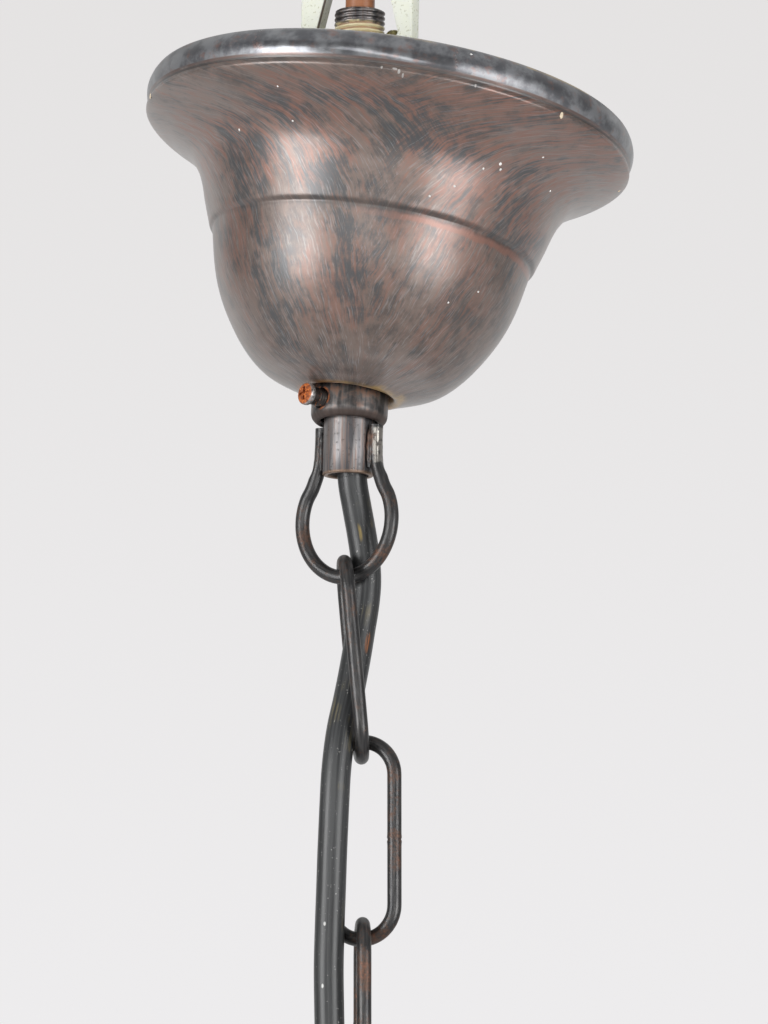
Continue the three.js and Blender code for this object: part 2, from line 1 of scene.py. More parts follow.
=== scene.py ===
"""Looks of the chandelier's ceiling suspension: a painted canopy on a steel tube, a nylon stirrup,
a chain of oval links and the flex that is woven through it.

Sizes here are millimetres in the assembly's frame, whose height 0 is the upper tube's mouth.
The row frame is the same one lowered by SEAT_Z and in metres.
"""

import json
import math

import bmesh
import bpy
import numpy as np
from mathutils import Matrix, Vector


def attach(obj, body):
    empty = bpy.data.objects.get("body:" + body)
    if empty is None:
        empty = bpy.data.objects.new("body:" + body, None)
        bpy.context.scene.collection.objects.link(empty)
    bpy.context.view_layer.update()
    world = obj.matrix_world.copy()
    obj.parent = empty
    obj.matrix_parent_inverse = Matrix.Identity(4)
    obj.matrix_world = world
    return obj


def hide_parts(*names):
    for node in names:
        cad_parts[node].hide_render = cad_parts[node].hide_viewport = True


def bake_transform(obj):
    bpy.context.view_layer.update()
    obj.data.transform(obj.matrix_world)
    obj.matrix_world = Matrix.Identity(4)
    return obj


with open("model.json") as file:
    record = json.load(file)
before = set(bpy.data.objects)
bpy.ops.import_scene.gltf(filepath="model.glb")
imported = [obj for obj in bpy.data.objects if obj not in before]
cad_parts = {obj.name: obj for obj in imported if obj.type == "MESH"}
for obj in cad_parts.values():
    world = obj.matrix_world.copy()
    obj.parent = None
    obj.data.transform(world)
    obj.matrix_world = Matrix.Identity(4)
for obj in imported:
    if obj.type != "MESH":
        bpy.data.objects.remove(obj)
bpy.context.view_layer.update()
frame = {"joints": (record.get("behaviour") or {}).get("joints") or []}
joints = {j["name"]: j for j in frame["joints"]}

MM = 0.001
SEAT_Z = 112.0
LIFT = Matrix.Translation((0, 0, -SEAT_Z))
JOIN = 0.05  # how far a piece sinks into the one that it is welded or bonded to

# Sizes that both the materials and the pieces use
TUBE_R = 5.0
THREAD_PITCH = 1.0
WIRE_R = 1.4
FLEX_R = 2.9
COLLAR_R = 7.55
GRUB_R = 1.8
GRUB_DROP = 3.8
GRUB_ANGLE = math.radians(220)
STIRRUP_TURN = math.radians(-28)
BAR_TOP = 87.3
WINDOW_HALF = 9.7


def at_joint(name):
    """A joint's point in millimetres in the assembly's frame."""
    x, y, z = joints[name]["pos_m"]
    return Vector((x / MM, y / MM, z / MM + SEAT_Z))


# Camera: the photograph's view, from below and a little to the right, rolled with the leaning tube
CAMERA_PLACE = (7.236, -1258.226, -318.25)  # in the row frame
CAMERA_PITCH = math.radians(9.0)
CAMERA_ROLL = math.radians(1.43)
CAMERA_LENS = 228.5
FILM = 36.0


def add_camera():
    forward = Vector((0, math.cos(CAMERA_PITCH), math.sin(CAMERA_PITCH)))
    level_up = Vector((0, -math.sin(CAMERA_PITCH), math.cos(CAMERA_PITCH)))
    sideways = Vector((1, 0, 0))
    right = math.cos(CAMERA_ROLL) * sideways + math.sin(CAMERA_ROLL) * level_up
    up = -math.sin(CAMERA_ROLL) * sideways + math.cos(CAMERA_ROLL) * level_up
    data = bpy.data.cameras.new("camera")
    data.lens = CAMERA_LENS
    data.sensor_width = FILM
    data.clip_start = 0.05
    data.clip_end = 60
    camera = object_of("camera", data)
    turn = Matrix((right, up, -forward)).transposed().to_4x4()
    camera.matrix_world = Matrix.Translation(Vector(CAMERA_PLACE) * MM) @ turn
    bpy.context.scene.camera = camera


# Mesh helpers

def object_of(name, data):
    made = bpy.data.objects.new(name, data)
    bpy.context.scene.collection.objects.link(made)
    return made


def shaded(data, sharp=35.0):
    data.shade_smooth()
    data.set_sharp_from_angle(angle=math.radians(sharp))


def circle(sides):
    """The angles round a circle, with the first one's return at the end, and its points for a
    radius of 1."""
    angles = np.linspace(0, 2 * math.pi, sides + 1)
    return angles, np.stack([np.cos(angles[:-1]), np.sin(angles[:-1])], axis=1)


def distances(line):
    """How far along a line each of its points lies."""
    return np.r_[0, np.cumsum(np.linalg.norm(np.diff(line, axis=0), axis=1))]


def surface(name, rings, uv, closed=False, place=None, sharp=35.0):
    """Rings of points in millimetres, joined by quads. uv gives each ring's and each side's
    coordinate. closed joins the last ring to the first; otherwise both end rings are filled."""
    rings = np.asarray(rings, float)
    count, sides = rings.shape[:2]
    matrix = LIFT @ place if place is not None else LIFT
    points = rings.reshape(-1, 3) @ np.array(matrix.to_3x3()).T + np.array(matrix.translation)
    along, around = uv
    faces, corners = [], []
    for i in range(count if closed else count - 1):
        j = (i + 1) % count
        for k in range(sides):
            m = (k + 1) % sides
            faces.append((i * sides + k, i * sides + m, j * sides + m, j * sides + k))
            corners += [
                (around[k], along[i]), (around[k + 1], along[i]),
                (around[k + 1], along[i + 1]), (around[k], along[i + 1]),
            ]
    if not closed:
        for ring in (0, count - 1):
            faces.append(tuple(ring * sides + k for k in range(sides)))
            corners += [(around[k], along[ring]) for k in range(sides)]
    data = bpy.data.meshes.new(name)
    data.from_pydata((points * MM).tolist(), [], faces)
    layer = data.uv_layers.new(name="Lay")
    layer.data.foreach_set("uv", np.array(corners, np.float32).ravel())
    work = bmesh.new()
    work.from_mesh(data)
    bmesh.ops.recalc_face_normals(work, faces=work.faces)
    work.to_mesh(data)
    work.free()
    shaded(data, sharp)
    return object_of(name, data)


def rounded(points, steps=4):
    """A profile whose points may hold a third number, the radius that its corner is rounded to."""
    done = []
    for i, point in enumerate(points):
        here = np.array(point[:2], float)
        if len(point) < 3 or i in (0, len(points) - 1):
            done.append(here)
            continue
        before = np.array(points[i - 1][:2], float) - here
        after = np.array(points[i + 1][:2], float) - here
        start = here + before * min(point[2] / np.linalg.norm(before), 0.5)
        end = here + after * min(point[2] / np.linalg.norm(after), 0.5)
        for t in np.linspace(0, 1, steps + 1):
            done.append((1 - t) ** 2 * start + 2 * t * (1 - t) * here + t ** 2 * end)
    return np.array(done)


def turned(name, profile, sides=64, place=None, closed=False, sharp=35.0):
    """A profile of [radius, height] turned about Z. A closed one comes back to its start, and an
    open one is filled at both ends."""
    profile = np.asarray(profile, float)
    angles, ring = circle(sides)
    rings = [np.c_[ring * max(r, 1e-3), np.full(sides, z)] for r, z in profile]
    along = distances(np.vstack([profile, profile[:1]]))
    return surface(name, rings, (along, angles), closed, place, sharp)


def pin(name, radius, low, high, edge, sides, place=None):
    """A turned cylinder with rounded ends."""
    profile = rounded([(0, low), (radius, low, edge), (radius, high, edge), (0, high)])
    return turned(name, profile, sides, place)


def drill(radius, low, high, sides, place=None):
    """A plain cylinder, used as a cutting tool."""
    return turned("drill", [(radius, low), (radius, high)], sides, place)


def swept(name, path, section, place=None, closed=False, start=0.0):
    """A section carried along a path without twist. section is a function of the distance along
    that gives [across, up] points."""
    path = np.asarray(path, float)
    along = distances(path)
    ahead = np.roll(path, -1, axis=0) - np.roll(path, 1, axis=0)
    if closed:
        along = np.r_[along, along[-1] + np.linalg.norm(path[0] - path[-1])]
    else:
        ahead[0], ahead[-1] = path[1] - path[0], path[-1] - path[-2]
    ahead /= np.linalg.norm(ahead, axis=1)[:, None]
    side = np.array((0.0, 1.0, 0.0))
    rings = []
    for centre, direction, distance in zip(path, ahead, along):
        side = side - direction * (side @ direction)
        side /= np.linalg.norm(side)
        other = np.cross(direction, side)
        outline = section(distance)
        rings.append(centre + outline[:, :1] * other + outline[:, 1:] * side)
    around = np.linspace(0, 2 * math.pi, len(rings[0]) + 1)
    return surface(name, rings, (along + start, around), closed, place, 50.0)


def round_section(radius, sides=24):
    _, ring = circle(sides)
    return lambda distance: ring * radius


def smooth_line(points, step):
    """A centripetal Catmull-Rom curve through the points, cut into equal steps."""
    p = np.asarray(points, float)
    p = np.vstack([2 * p[0] - p[1], p, 2 * p[-1] - p[-2]])
    fine = []
    for i in range(1, len(p) - 2):
        a, b, c, d = p[i - 1:i + 3]
        k0, k1, k2 = (np.linalg.norm(n) ** 0.5 for n in (b - a, c - b, d - c))
        out = ((b - a) / k0 - (c - a) / (k0 + k1) + (c - b) / k1) * k1
        into = ((c - b) / k1 - (d - b) / (k1 + k2) + (d - c) / k2) * k1
        t = np.linspace(0, 1, 25, endpoint=False)[:, None]
        fine.append(
            (2 * t ** 3 - 3 * t ** 2 + 1) * b + (t ** 3 - 2 * t ** 2 + t) * out
            + (3 * t ** 2 - 2 * t ** 3) * c + (t ** 3 - t ** 2) * into
        )
    return even_line(np.vstack([*fine, p[-2]]), step)


def even_line(line, step):
    lengths = distances(line)
    stops = np.linspace(0, lengths[-1], max(2, round(lengths[-1] / step) + 1))
    return np.stack([np.interp(stops, lengths, line[:, k]) for k in range(3)], axis=1)


def changed(piece, tool, operation):
    """piece joined with or cut by tool, which is then gone."""
    modifier = piece.modifiers.new("change", "BOOLEAN")
    modifier.operation = operation
    modifier.solver = "EXACT"
    modifier.object = tool
    bpy.context.view_layer.update()
    evaluated = piece.evaluated_get(bpy.context.evaluated_depsgraph_get())
    data = bpy.data.meshes.new_from_object(evaluated)
    piece.modifiers.clear()
    piece.data = data
    bpy.data.objects.remove(tool)
    shaded(data)
    return piece


def cut(piece, tool):
    return changed(piece, tool, "DIFFERENCE")


def join(piece, tool):
    return changed(piece, tool, "UNION")


def one_piece(name, parts):
    """Several objects' meshes as one object."""
    work = bmesh.new()
    for part in parts:
        part.data.transform(part.matrix_world)
        work.from_mesh(part.data)
    data = bpy.data.meshes.new(name)
    work.to_mesh(data)
    work.free()
    for part in parts:
        bpy.data.objects.remove(part)
    data.set_sharp_from_angle(angle=math.radians(35))
    return object_of(name, data)


def box_between(name, low, high, place=None, start=0.0):
    """A plain box, used as a cutting tool. start is the distance along that its faces show."""
    base = [(low[0], low[1]), (high[0], low[1]), (high[0], high[1]), (low[0], high[1])]
    rings = [[(x, y, z) for x, y in base] for z in (low[2], high[2])]
    along = [start, start + high[2] - low[2]]
    return surface(name, rings, (along, [0, 1, 2, 3, 4]), place=place)


def settle(piece, body, material, *nodes, slot=None):
    """Gives a finished piece its material and its body, and hides the CAD nodes it stands for. slot
    is not used."""
    piece.data.materials.clear()
    piece.data.materials.append(material)
    if body is not None:
        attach(piece, body)
    if nodes:
        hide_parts(*nodes)


def askew(lean):
    """A frame at the canopy's seat whose Z leans by two angles in degrees, to the right and back,
    turned there from upright by the shortest way."""
    x, y = (math.tan(math.radians(a)) for a in lean)
    turn = Vector((0, 0, 1)).rotation_difference(Vector((x, y, 1))).to_matrix().to_4x4()
    return Matrix.Translation(at_joint("canopy_tilt")) @ turn


# Materials

class Value:
    """A number in a node tree. Plain arithmetic with it adds the nodes that do the same."""

    def __init__(self, nodes, socket):
        self.nodes = nodes
        self.socket = socket

    def __add__(self, other):
        return self.nodes.math("ADD", self, other)

    def __sub__(self, other):
        return self.nodes.math("SUBTRACT", self, other)

    def __rsub__(self, other):
        return self.nodes.math("SUBTRACT", other, self)

    def __mul__(self, other):
        return self.nodes.math("MULTIPLY", self, other)

    __radd__ = __add__
    __rmul__ = __mul__

    def cosine(self):
        return self.nodes.math("COSINE", self)

    def sine(self):
        return self.nodes.math("SINE", self)

    def size(self):
        return self.nodes.math("ABSOLUTE", self)

    def at_least(self, other):
        return self.nodes.math("MAXIMUM", self, other)

    def step(self, low, high):
        """0 below low and 1 above high, smooth between; low may be the larger one."""
        node = self.nodes.add("ShaderNodeMapRange", interpolation_type="SMOOTHSTEP")
        swap = low > high
        ends = (high, low) if swap else (low, high)
        keys = ("From Min", "From Max", "To Min", "To Max")
        for key, number in zip(keys, (*ends, float(swap), float(not swap))):
            node.inputs[key].default_value = number
        self.nodes.feed(node.inputs["Value"], self)
        return Value(self.nodes, node.outputs[0])

    def between(self, low, high, edge):
        """1 between low and high, falling to 0 over edge on both sides."""
        return self.step(low - edge, low) * self.step(high + edge, high)

    def pick(self, a, b):
        """a where this is 0, b where it is 1, and numbers between."""
        return self * (b - a) + a


class Nodes:
    """Short names for the nodes of a material or of the world."""

    def __init__(self, name, owners=bpy.data.materials):
        self.owner = owners.new(name)
        self.owner.use_nodes = True
        self.tree = self.owner.node_tree
        self.shader = self.tree.nodes.get("Principled BSDF")
        self.spot = None
        self.tone = None

    def add(self, kind, **settings):
        node = self.tree.nodes.new(kind)
        for key, value in settings.items():
            setattr(node, key, value)
        return node

    def feed(self, target, value):
        """Links a socket to another, or sets it to a number or a plain colour."""
        if isinstance(value, Value):
            value = value.socket
        if isinstance(value, bpy.types.NodeSocket):
            self.tree.links.new(value, target)
        elif target.type == "RGBA":
            target.default_value = (*value, 1)
        else:
            target.default_value = value

    def fed(self, kind, *values, **settings):
        """The first output of a new node whose inputs take these values in order."""
        node = self.add(kind, **settings)
        for socket, value in zip(node.inputs, values):
            self.feed(socket, value)
        return node.outputs[0]

    def set(self, **values):
        """Sets the shader's sockets: base_color=..., roughness=... and so on."""
        for key, value in values.items():
            self.feed(self.shader.inputs[key.replace("_", " ").title()], value)

    def math(self, operation, *values):
        return Value(self, self.fed("ShaderNodeMath", *values, operation=operation))

    def axes(self, x, y, z):
        return self.fed("ShaderNodeCombineXYZ", x, y, z)

    def parts(self, vector):
        node = self.add("ShaderNodeSeparateXYZ")
        self.feed(node.inputs[0], vector)
        return [Value(self, socket) for socket in node.outputs]

    def lay(self):
        """The angle about a piece's axis, and the distance along it in millimetres."""
        return self.parts(self.add("ShaderNodeUVMap", uv_map="Lay").outputs[0])[:2]

    def place(self):
        """The point of the surface in metres in its own body."""
        if self.spot is None:
            self.spot = self.add("ShaderNodeTexCoord").outputs["Object"]
        return self.spot

    def noise(self, scale=1.0, detail=2.0, roughness=0.5, at=None):
        """Noise at the surface's own point, or at another one."""
        node = self.add("ShaderNodeTexNoise")
        self.feed(node.inputs["Vector"], self.place() if at is None else at)
        for key, value in (("Scale", scale), ("Detail", detail), ("Roughness", roughness)):
            node.inputs[key].default_value = value
        return Value(self, node.outputs[0])

    def mix(self, share, a, b):
        node = self.add("ShaderNodeMix", data_type="RGBA")
        self.feed(node.inputs["Factor"], share)
        for socket, value in zip([s for s in node.inputs if s.type == "RGBA"], (a, b)):
            self.feed(socket, value)
        return next(s for s in node.outputs if s.type == "RGBA")

    def over(self, share, colour):
        """Lays a colour over those that are there so far."""
        self.tone = self.mix(share, self.tone, colour)

    def bump(self, height, strength, distance):
        node = self.add("ShaderNodeBump")
        node.inputs["Strength"].default_value = strength
        node.inputs["Distance"].default_value = distance * MM
        self.feed(node.inputs["Height"], height)
        self.feed(self.shader.inputs["Normal"], node.outputs[0])


def streaks(n, angle, along, radius, across, length, seed, detail=3.0, roughness=0.5):
    """A noise stretched along a bar, wire or shell of a radius. across and length are its grain in
    millimetres, and seed moves it along."""
    grain = radius / across
    spot = n.axes(angle.cosine() * grain, angle.sine() * grain, along * (1 / length) + seed)
    return n.noise(1.0, detail, roughness, spot)


# Canopy paint: tones as plain colours
BROWN = (0.158, 0.116, 0.097)
DEEP_BROWN = (0.082, 0.061, 0.052)
RUST_RED = (0.230, 0.100, 0.068)
BLUE_BLACK = (0.052, 0.057, 0.062)
HAIR_GREY = (0.36, 0.36, 0.37)
# Grey haze, and at the flange's two sides a painted reflection of the pale floor
HAZE_AND_REFLECTION_BROWN = (0.250, 0.205, 0.185)
# Dark paint in the crease, and painted shade in the crease and in the lip's groove
DARK_PAINT_AND_SHADE = (0.022, 0.020, 0.020)
LIP_TONES = ((0.070, 0.076, 0.088), (0.21, 0.22, 0.235))
LIP_FOOT = (0.10, 0.062, 0.052)
WORN_EDGE = (0.40, 0.30, 0.15)
VARNISH = (0.36, 0.16, 0.05)
YELLOW_STAIN = (0.46, 0.30, 0.11)
PRIMER_TONES = ((0.085, 0.075, 0.07), (0.17, 0.13, 0.10))

# The canopy's landmarks, as distances along its outer side from the cup's hole
CUP_WALL_ALONG = 1.6
STAIN_ALONG = 6.3
CREASE_ALONG = 45.2
RIDGE_ALONG = 75.0
LIP_ALONG = 76.2
OUTSIDE_ALONG = 85.2
WIPED_ANGLE = math.radians(-99)  # where the lip is glossiest
STROKE_R = 33.0  # radius at which strokes have their stated width

# Fields of one tone: angle in degrees and distance along the canopy, then half sizes in mm
RED_FIELDS = [(-124, 58, 15, 9), (-57, 55, 14, 10), (-72, 42, 9, 5), (-48, 30, 9, 13),
              (-150, 36, 7, 10), (-98, 30, 12, 9), (-30, 62, 11, 7), (-66, 68, 16, 6),
              (-35, 71, 18, 5), (-22, 52, 6, 8), (-155, 60, 8, 8), (-100, 68, 16, 5)]
DARK_FIELDS = [(-137, 55, 7, 8), (-80, 62, 11, 6), (-110, 66, 9, 4), (-92, 35, 6, 14),
               (-38, 53, 5, 9), (-130, 25, 8, 14), (-100, 50, 8, 4), (-20, 46, 6, 8)]
# Grey haze; the two fields at the flange's sides are a painted reflection of the pale floor
HAZE_AND_REFLECTION_FIELDS = [(-172, 62, 22, 14), (-12, 60, 20, 12), (-60, 12, 14, 6), (-160, 20, 9, 12)]


def field(n, angle, along, ripple, fields):
    """Soft patches where one tone gathers, with edges that ripple."""
    total = None
    for degrees, distance, half_width, half_height in fields:
        turn = angle - math.radians(degrees)
        u = turn.sine() * (STROKE_R / half_width)
        v = (along - distance) * (1 / half_height)
        near = (u * u + v * v + ripple).step(2.2, 0.1) * n.math("GREATER_THAN", turn.cosine(), 0.0)
        total = near if total is None else total.at_least(near)
    return total


def canopy_paint():
    """Brown paint brushed over with rust red and blue-black, in fans that part at the middle."""
    n = Nodes("canopy_paint")
    angle, along = n.lay()
    height = along - CREASE_ALONG
    rise = height.at_least(0.0)
    sway = (n.noise(110, 2) - 0.5) * 0.10
    sweep = height * 0.009 + rise * rise * 0.0005
    side = (n.noise(42, 2) - 0.5) * 1.3 + angle.cosine()
    right_share = side.step(-0.25, 0.25)

    def fan(across, length, seed, detail=3.0, lean=1.0):
        """Brush strokes that wind one way on the left and the other way on the right."""
        left, right = (
            streaks(n, angle + (sweep * way + sway), height, STROKE_R, across, length, start,
                    detail, 0.6)
            for way, start in ((lean, seed), (-lean, seed + 3.7))
        )
        return right_share.pick(left, right)

    broad = fan(3.4, 9, 1.3)
    middle = fan(1.2, 8, 5.1, lean=0.8)
    fine = fan(0.55, 5.5, 9.7)
    hair = fan(0.34, 3.2, 14.9, 2, 1.25)
    ripple = (n.noise(120, 3) - 0.5) * 4.0
    reds, darks, haze_and_reflection = (
        field(n, angle, along, ripple, fields) for fields in (RED_FIELDS, DARK_FIELDS, HAZE_AND_REFLECTION_FIELDS)
    )
    mottle = n.noise(330, 4, 0.7)

    ground = broad * 0.55 + mottle * 0.45
    n.tone = n.mix(ground.step(0.40, 0.59), DEEP_BROWN, BROWN)
    # Grey haze, and at the flange's sides a painted reflection of the pale floor
    n.over(haze_and_reflection * (fine * 0.9 + 0.15), HAZE_AND_REFLECTION_BROWN)
    red = middle * 0.28 + fine * 0.50 + mottle * 0.22 + reds * 0.090
    red_share = along.step(30, 50) * 0.28 + 0.54
    n.over(red.step(0.50, 0.68) * red_share, RUST_RED)
    dark = broad * 0.30 + fine * 0.44 + mottle * 0.26 - darks * 0.09
    n.over(dark.step(0.49, 0.35) * 0.86, BLUE_BLACK)
    low_bowl = along.step(28, 8) * 0.30 + 0.26
    n.over(hair.step(0.52, 0.70) * low_bowl, HAIR_GREY)

    # The pressed crease holds dark paint and painted shade, with a rust red band under it towards
    # the right
    beside = along + (n.noise(260, 3) * 1.6 - 0.8)
    band = beside.between(CREASE_ALONG - 1.5, CREASE_ALONG - 0.6, 0.6) * side.step(-0.15, 0.3)
    n.over(band * 0.8, RUST_RED)
    line = beside.between(CREASE_ALONG - 0.3, CREASE_ALONG + 0.7, 0.8)
    line *= mottle.step(0.35, 0.6) * 0.6 + 0.15
    line *= side.step(-0.6, 0.2) * 0.6 + 0.35
    n.over(line, DARK_PAINT_AND_SHADE)

    # The lip was wiped smooth: blue-grey, worn to the ground coat along its top edge
    lip = along.step(LIP_ALONG - 0.4, LIP_ALONG + 0.5)
    clouds = n.noise(240, 4, 0.65)
    lip_tone = n.mix(clouds.step(0.38, 0.62), *LIP_TONES)
    lip_tone = n.mix(mottle.step(0.54, 0.68) * 0.5, lip_tone, RUST_RED)
    n.over(lip * 0.9, lip_tone)
    foot = along.between(LIP_ALONG - 0.15, LIP_ALONG + 0.15, 0.2)
    n.over(foot * clouds.step(0.35, 0.55), LIP_FOOT)
    # Painted shade in the groove between the ridge and the lip
    groove = along.between(RIDGE_ALONG + 0.55, LIP_ALONG - 0.35, 0.2)
    n.over(groove * 0.75, DARK_PAINT_AND_SHADE)
    ragged = n.noise(300, 3)
    edge = along.between(LIP_ALONG + 5.6, LIP_ALONG + 6.6, 0.3) * ragged.step(0.47, 0.62)
    n.over(edge * angle.cosine().step(-0.2, 0.4), WORN_EDGE)

    # Old varnish in the cup round the collar, which ran out over its edge on the right
    run = (angle + 0.55).cosine().step(0.5, 1.0) * 1.1 * ragged.step(0.35, 0.6)
    beyond = along - (run + STAIN_ALONG)
    stain = along.step(CUP_WALL_ALONG - 0.4, CUP_WALL_ALONG) * beyond.step(0.6, -0.9)
    stain *= mottle.step(0.30, 0.6) * 0.6 + 0.3
    stain_tone = n.mix((angle + 0.7).cosine().step(-0.2, 0.8), VARNISH, YELLOW_STAIN)
    n.over(stain, stain_tone)

    # The inside is bare primer
    primer = n.mix(n.noise(90, 4).step(0.4, 0.65), *PRIMER_TONES)
    n.over(along.step(OUTSIDE_ALONG, OUTSIDE_ALONG + 0.5), primer)

    grain = fine * 0.5 + mottle * 0.5
    wiped = (angle - WIPED_ANGLE).cosine().step(0.86, 0.95)
    lip_rough = wiped.pick(clouds * 0.30 + 0.30, clouds * 0.30 + 0.05)
    n.set(base_color=n.tone, roughness=lip.pick(grain * 0.30 + 0.27, lip_rough),
          metallic=lip.pick(0.5, 0.75), coat_weight=1.0, coat_roughness=0.34)
    n.bump(grain * (1.0 - lip), 0.35, 0.2)
    return n.owner


STEEL_TONES = ((0.215, 0.203, 0.20), (0.085, 0.083, 0.087))
STEEL_BROWN = (0.20, 0.135, 0.110)
DARK_FLECK = (0.05, 0.045, 0.04)
RUSTY_END = (0.30, 0.19, 0.12)
PASTE_TONES = ((0.62, 0.50, 0.24), (0.78, 0.72, 0.52))
PASTE_SHADE = (0.26, 0.10, 0.045)
RESIDUE_FOOT = 80.0  # old thread paste, as heights on the upper tube
RESIDUE_TOP = 90.4


def tube_steel():
    """Steel drawn along its length, browned by old varnish and spotted with dark flecks. Thread
    paste fills the thread above the stirrup."""
    n = Nodes("tube_steel")
    angle, along = n.lay()
    wide = streaks(n, angle, along, TUBE_R, 1.5, 22, 0.0)
    thin = streaks(n, angle, along, TUBE_R, 0.45, 9, 7.0)
    n.tone = n.mix(wide.step(0.38, 0.62), *STEEL_TONES)
    n.over(thin.step(0.48, 0.64) * 0.6, STEEL_BROWN)
    flecks = n.noise(1500, 2).step(0.60, 0.68)
    n.over(flecks * 0.5, DARK_FLECK)
    n.over(along.between(-0.5, 0.25, 0.5) * 0.6, RUSTY_END)
    turns = along * (1 / THREAD_PITCH) - angle * (0.5 / math.pi)
    ragged = n.noise(500, 3) * 2.0 + (RESIDUE_TOP - 1.0)
    residue = (along - ragged).step(0.25, -0.25) * along.step(RESIDUE_FOOT - 1, RESIDUE_FOOT)
    groove = n.math("PINGPONG", turns + 0.5, 0.5).step(0.22, 0.08)
    paste = n.mix(n.noise(700, 3), *PASTE_TONES)
    paste = n.mix(groove * 0.8, paste, PASTE_SHADE)
    n.over(residue * 0.92, paste)
    n.set(base_color=n.tone, roughness=thin * 0.22 + 0.30, metallic=residue.pick(0.75, 0.0))
    n.bump(thin - flecks * 0.5, 0.35, 0.12)
    return n.owner


WIRE_TONES = ((0.028, 0.028, 0.029), (0.060, 0.058, 0.057))
WIRE_BROWN = (0.085, 0.050, 0.036)
WIRE_RUST = (0.20, 0.085, 0.050)
# Bare steel on the pressed legs, with a painted sheen
BARE_STEEL_AND_SHEEN = (0.36, 0.34, 0.31)
LEG_BARE = 7.5  # how far down from its end a bail's leg is bare


def dark_wire(name="dark_wire", bare_legs_and_sheen=False):
    """Black varnish over steel wire, rubbed brown where links touch it. A bail's legs were pressed
    flat, and there the steel shows through, with a painted sheen that is stronger at positive X."""
    n = Nodes(name)
    angle, along = n.lay()
    pits = n.noise(1700, 3, 0.6)
    thin = streaks(n, angle, along, WIRE_R, 0.45, 5, 3.0)
    rust = n.noise(150, 3, 0.6) * 0.62 + pits * 0.38
    n.tone = n.mix(thin.step(0.4, 0.65), *WIRE_TONES)
    n.over(rust.step(0.49, 0.62), WIRE_BROWN)
    n.over(rust.step(0.60, 0.70) * 0.8, WIRE_RUST)
    roughness = rust.step(0.5, 0.62).pick(0.34, 0.50)
    metallic = 0.5
    if bare_legs_and_sheen:
        bare_and_sheen = along.between(0.9, LEG_BARE, 0.5) * angle.cosine().step(0.0, -0.35)
        bare_and_sheen *= n.noise(900, 3, 0.6).step(0.62, 0.48)
        # Painted sheen: the bare patch is stronger where the piece lies at positive X
        bare_and_sheen *= n.parts(n.place())[0].step(0.0, 0.004) * 0.8 + 0.15
        n.over(bare_and_sheen, BARE_STEEL_AND_SHEEN)
        roughness = bare_and_sheen.pick(roughness, 0.30)
        metallic = bare_and_sheen.pick(0.5, 0.9)
    n.set(base_color=n.tone, roughness=roughness, metallic=metallic)
    n.bump(pits, 0.35, 0.10)
    return n.owner


COLLAR_TONES = ((0.045, 0.042, 0.041), (0.14, 0.133, 0.13))
COLLAR_RUST = (0.23, 0.095, 0.045)
COLLAR_FOOT_TONE = (0.045, 0.028, 0.022)
RUST_RING = (0.42, 0.125, 0.035)
COLLAR_GRAIN_R = 7.5
COLLAR_FOOT = 2.0  # distances along the collar's profile where its wall begins and ends
COLLAR_TOP = 7.9


def collar_steel():
    """Blackened steel, streaked upwards, rusty round its foot, its edge and its screw hole."""
    n = Nodes("collar_steel")
    angle, along = n.lay()
    upward = streaks(n, angle, along, COLLAR_GRAIN_R, 0.9, 7, 0.0)
    blotches = n.noise(520, 4, 0.6)
    mottle = upward * 0.6 + blotches * 0.4
    n.tone = n.mix(mottle.step(0.38, 0.62), *COLLAR_TONES)
    rust = (upward * 0.4 + blotches * 0.6).step(0.49, 0.62)
    near_top = along.step(COLLAR_TOP - 4.0, COLLAR_TOP)
    n.over(rust * (near_top * 0.45 + 0.35), COLLAR_RUST)
    foot = along.step(COLLAR_FOOT + 0.7, COLLAR_FOOT - 0.5)
    n.over(foot * 0.85, COLLAR_FOOT_TONE)
    across = (angle - GRUB_ANGLE) * COLLAR_R
    down = along - (COLLAR_TOP + 0.5 - GRUB_DROP)
    reach = n.math("SQRT", across * across + down * down)
    ring = reach.between(GRUB_R, GRUB_R + 0.45, 0.3) * blotches.step(0.36, 0.56)
    n.over(ring * 0.85, RUST_RING)
    n.set(base_color=n.tone, roughness=foot.pick(mottle * 0.3 + 0.22, 0.6),
          metallic=foot.at_least(ring).pick(0.7, 0.25))
    n.bump(blotches, 0.25, 0.12)
    return n.owner


FRESH_RUST = ((0.20, 0.050, 0.015), (0.56, 0.150, 0.028))
WORN_STEEL = ((0.12, 0.115, 0.11), (0.42, 0.40, 0.39))
SHANK_TONE = (0.05, 0.042, 0.038)
HEAD_SIDE_ALONG = 7.9  # distance along the screw's profile at the middle of its head's side


def rusty_steel():
    """The grub screw: rust on its face and in its recess, worn silver on the head's side."""
    n = Nodes("rusty_steel")
    _, along = n.lay()
    crumbs = n.noise(1600, 4, 0.65)
    rust = n.mix(crumbs.step(0.40, 0.62), *FRESH_RUST)
    steel = n.mix(crumbs.step(0.35, 0.6), *WORN_STEEL)
    face = along.step(HEAD_SIDE_ALONG + 0.4, HEAD_SIDE_ALONG + 0.8)
    head = along.step(HEAD_SIDE_ALONG - 0.9, HEAD_SIDE_ALONG - 0.5)
    n.tone = n.mix(head, SHANK_TONE, steel)
    n.over(face.at_least(crumbs.step(0.60, 0.7)), rust)
    n.set(base_color=n.tone, roughness=face.pick(0.38, 0.75), metallic=face.pick(0.75, 0.15))
    n.bump(crumbs, 0.6, 0.15)
    return n.owner


NYLON_TONES = ((0.64, 0.67, 0.57), (0.74, 0.75, 0.67))
NYLON_SPECK = (0.40, 0.40, 0.28)
# Painted shade along the front edges of the stirrup's window
WINDOW_EDGE_SHADE = (0.12, 0.085, 0.055)
WINDOW_SLOPE = 0.265  # how fast the stirrup's window narrows with height
WINDOW_SHADE_DEPTH = (-1.35, -0.75)  # across the plate's thickness, from its middle


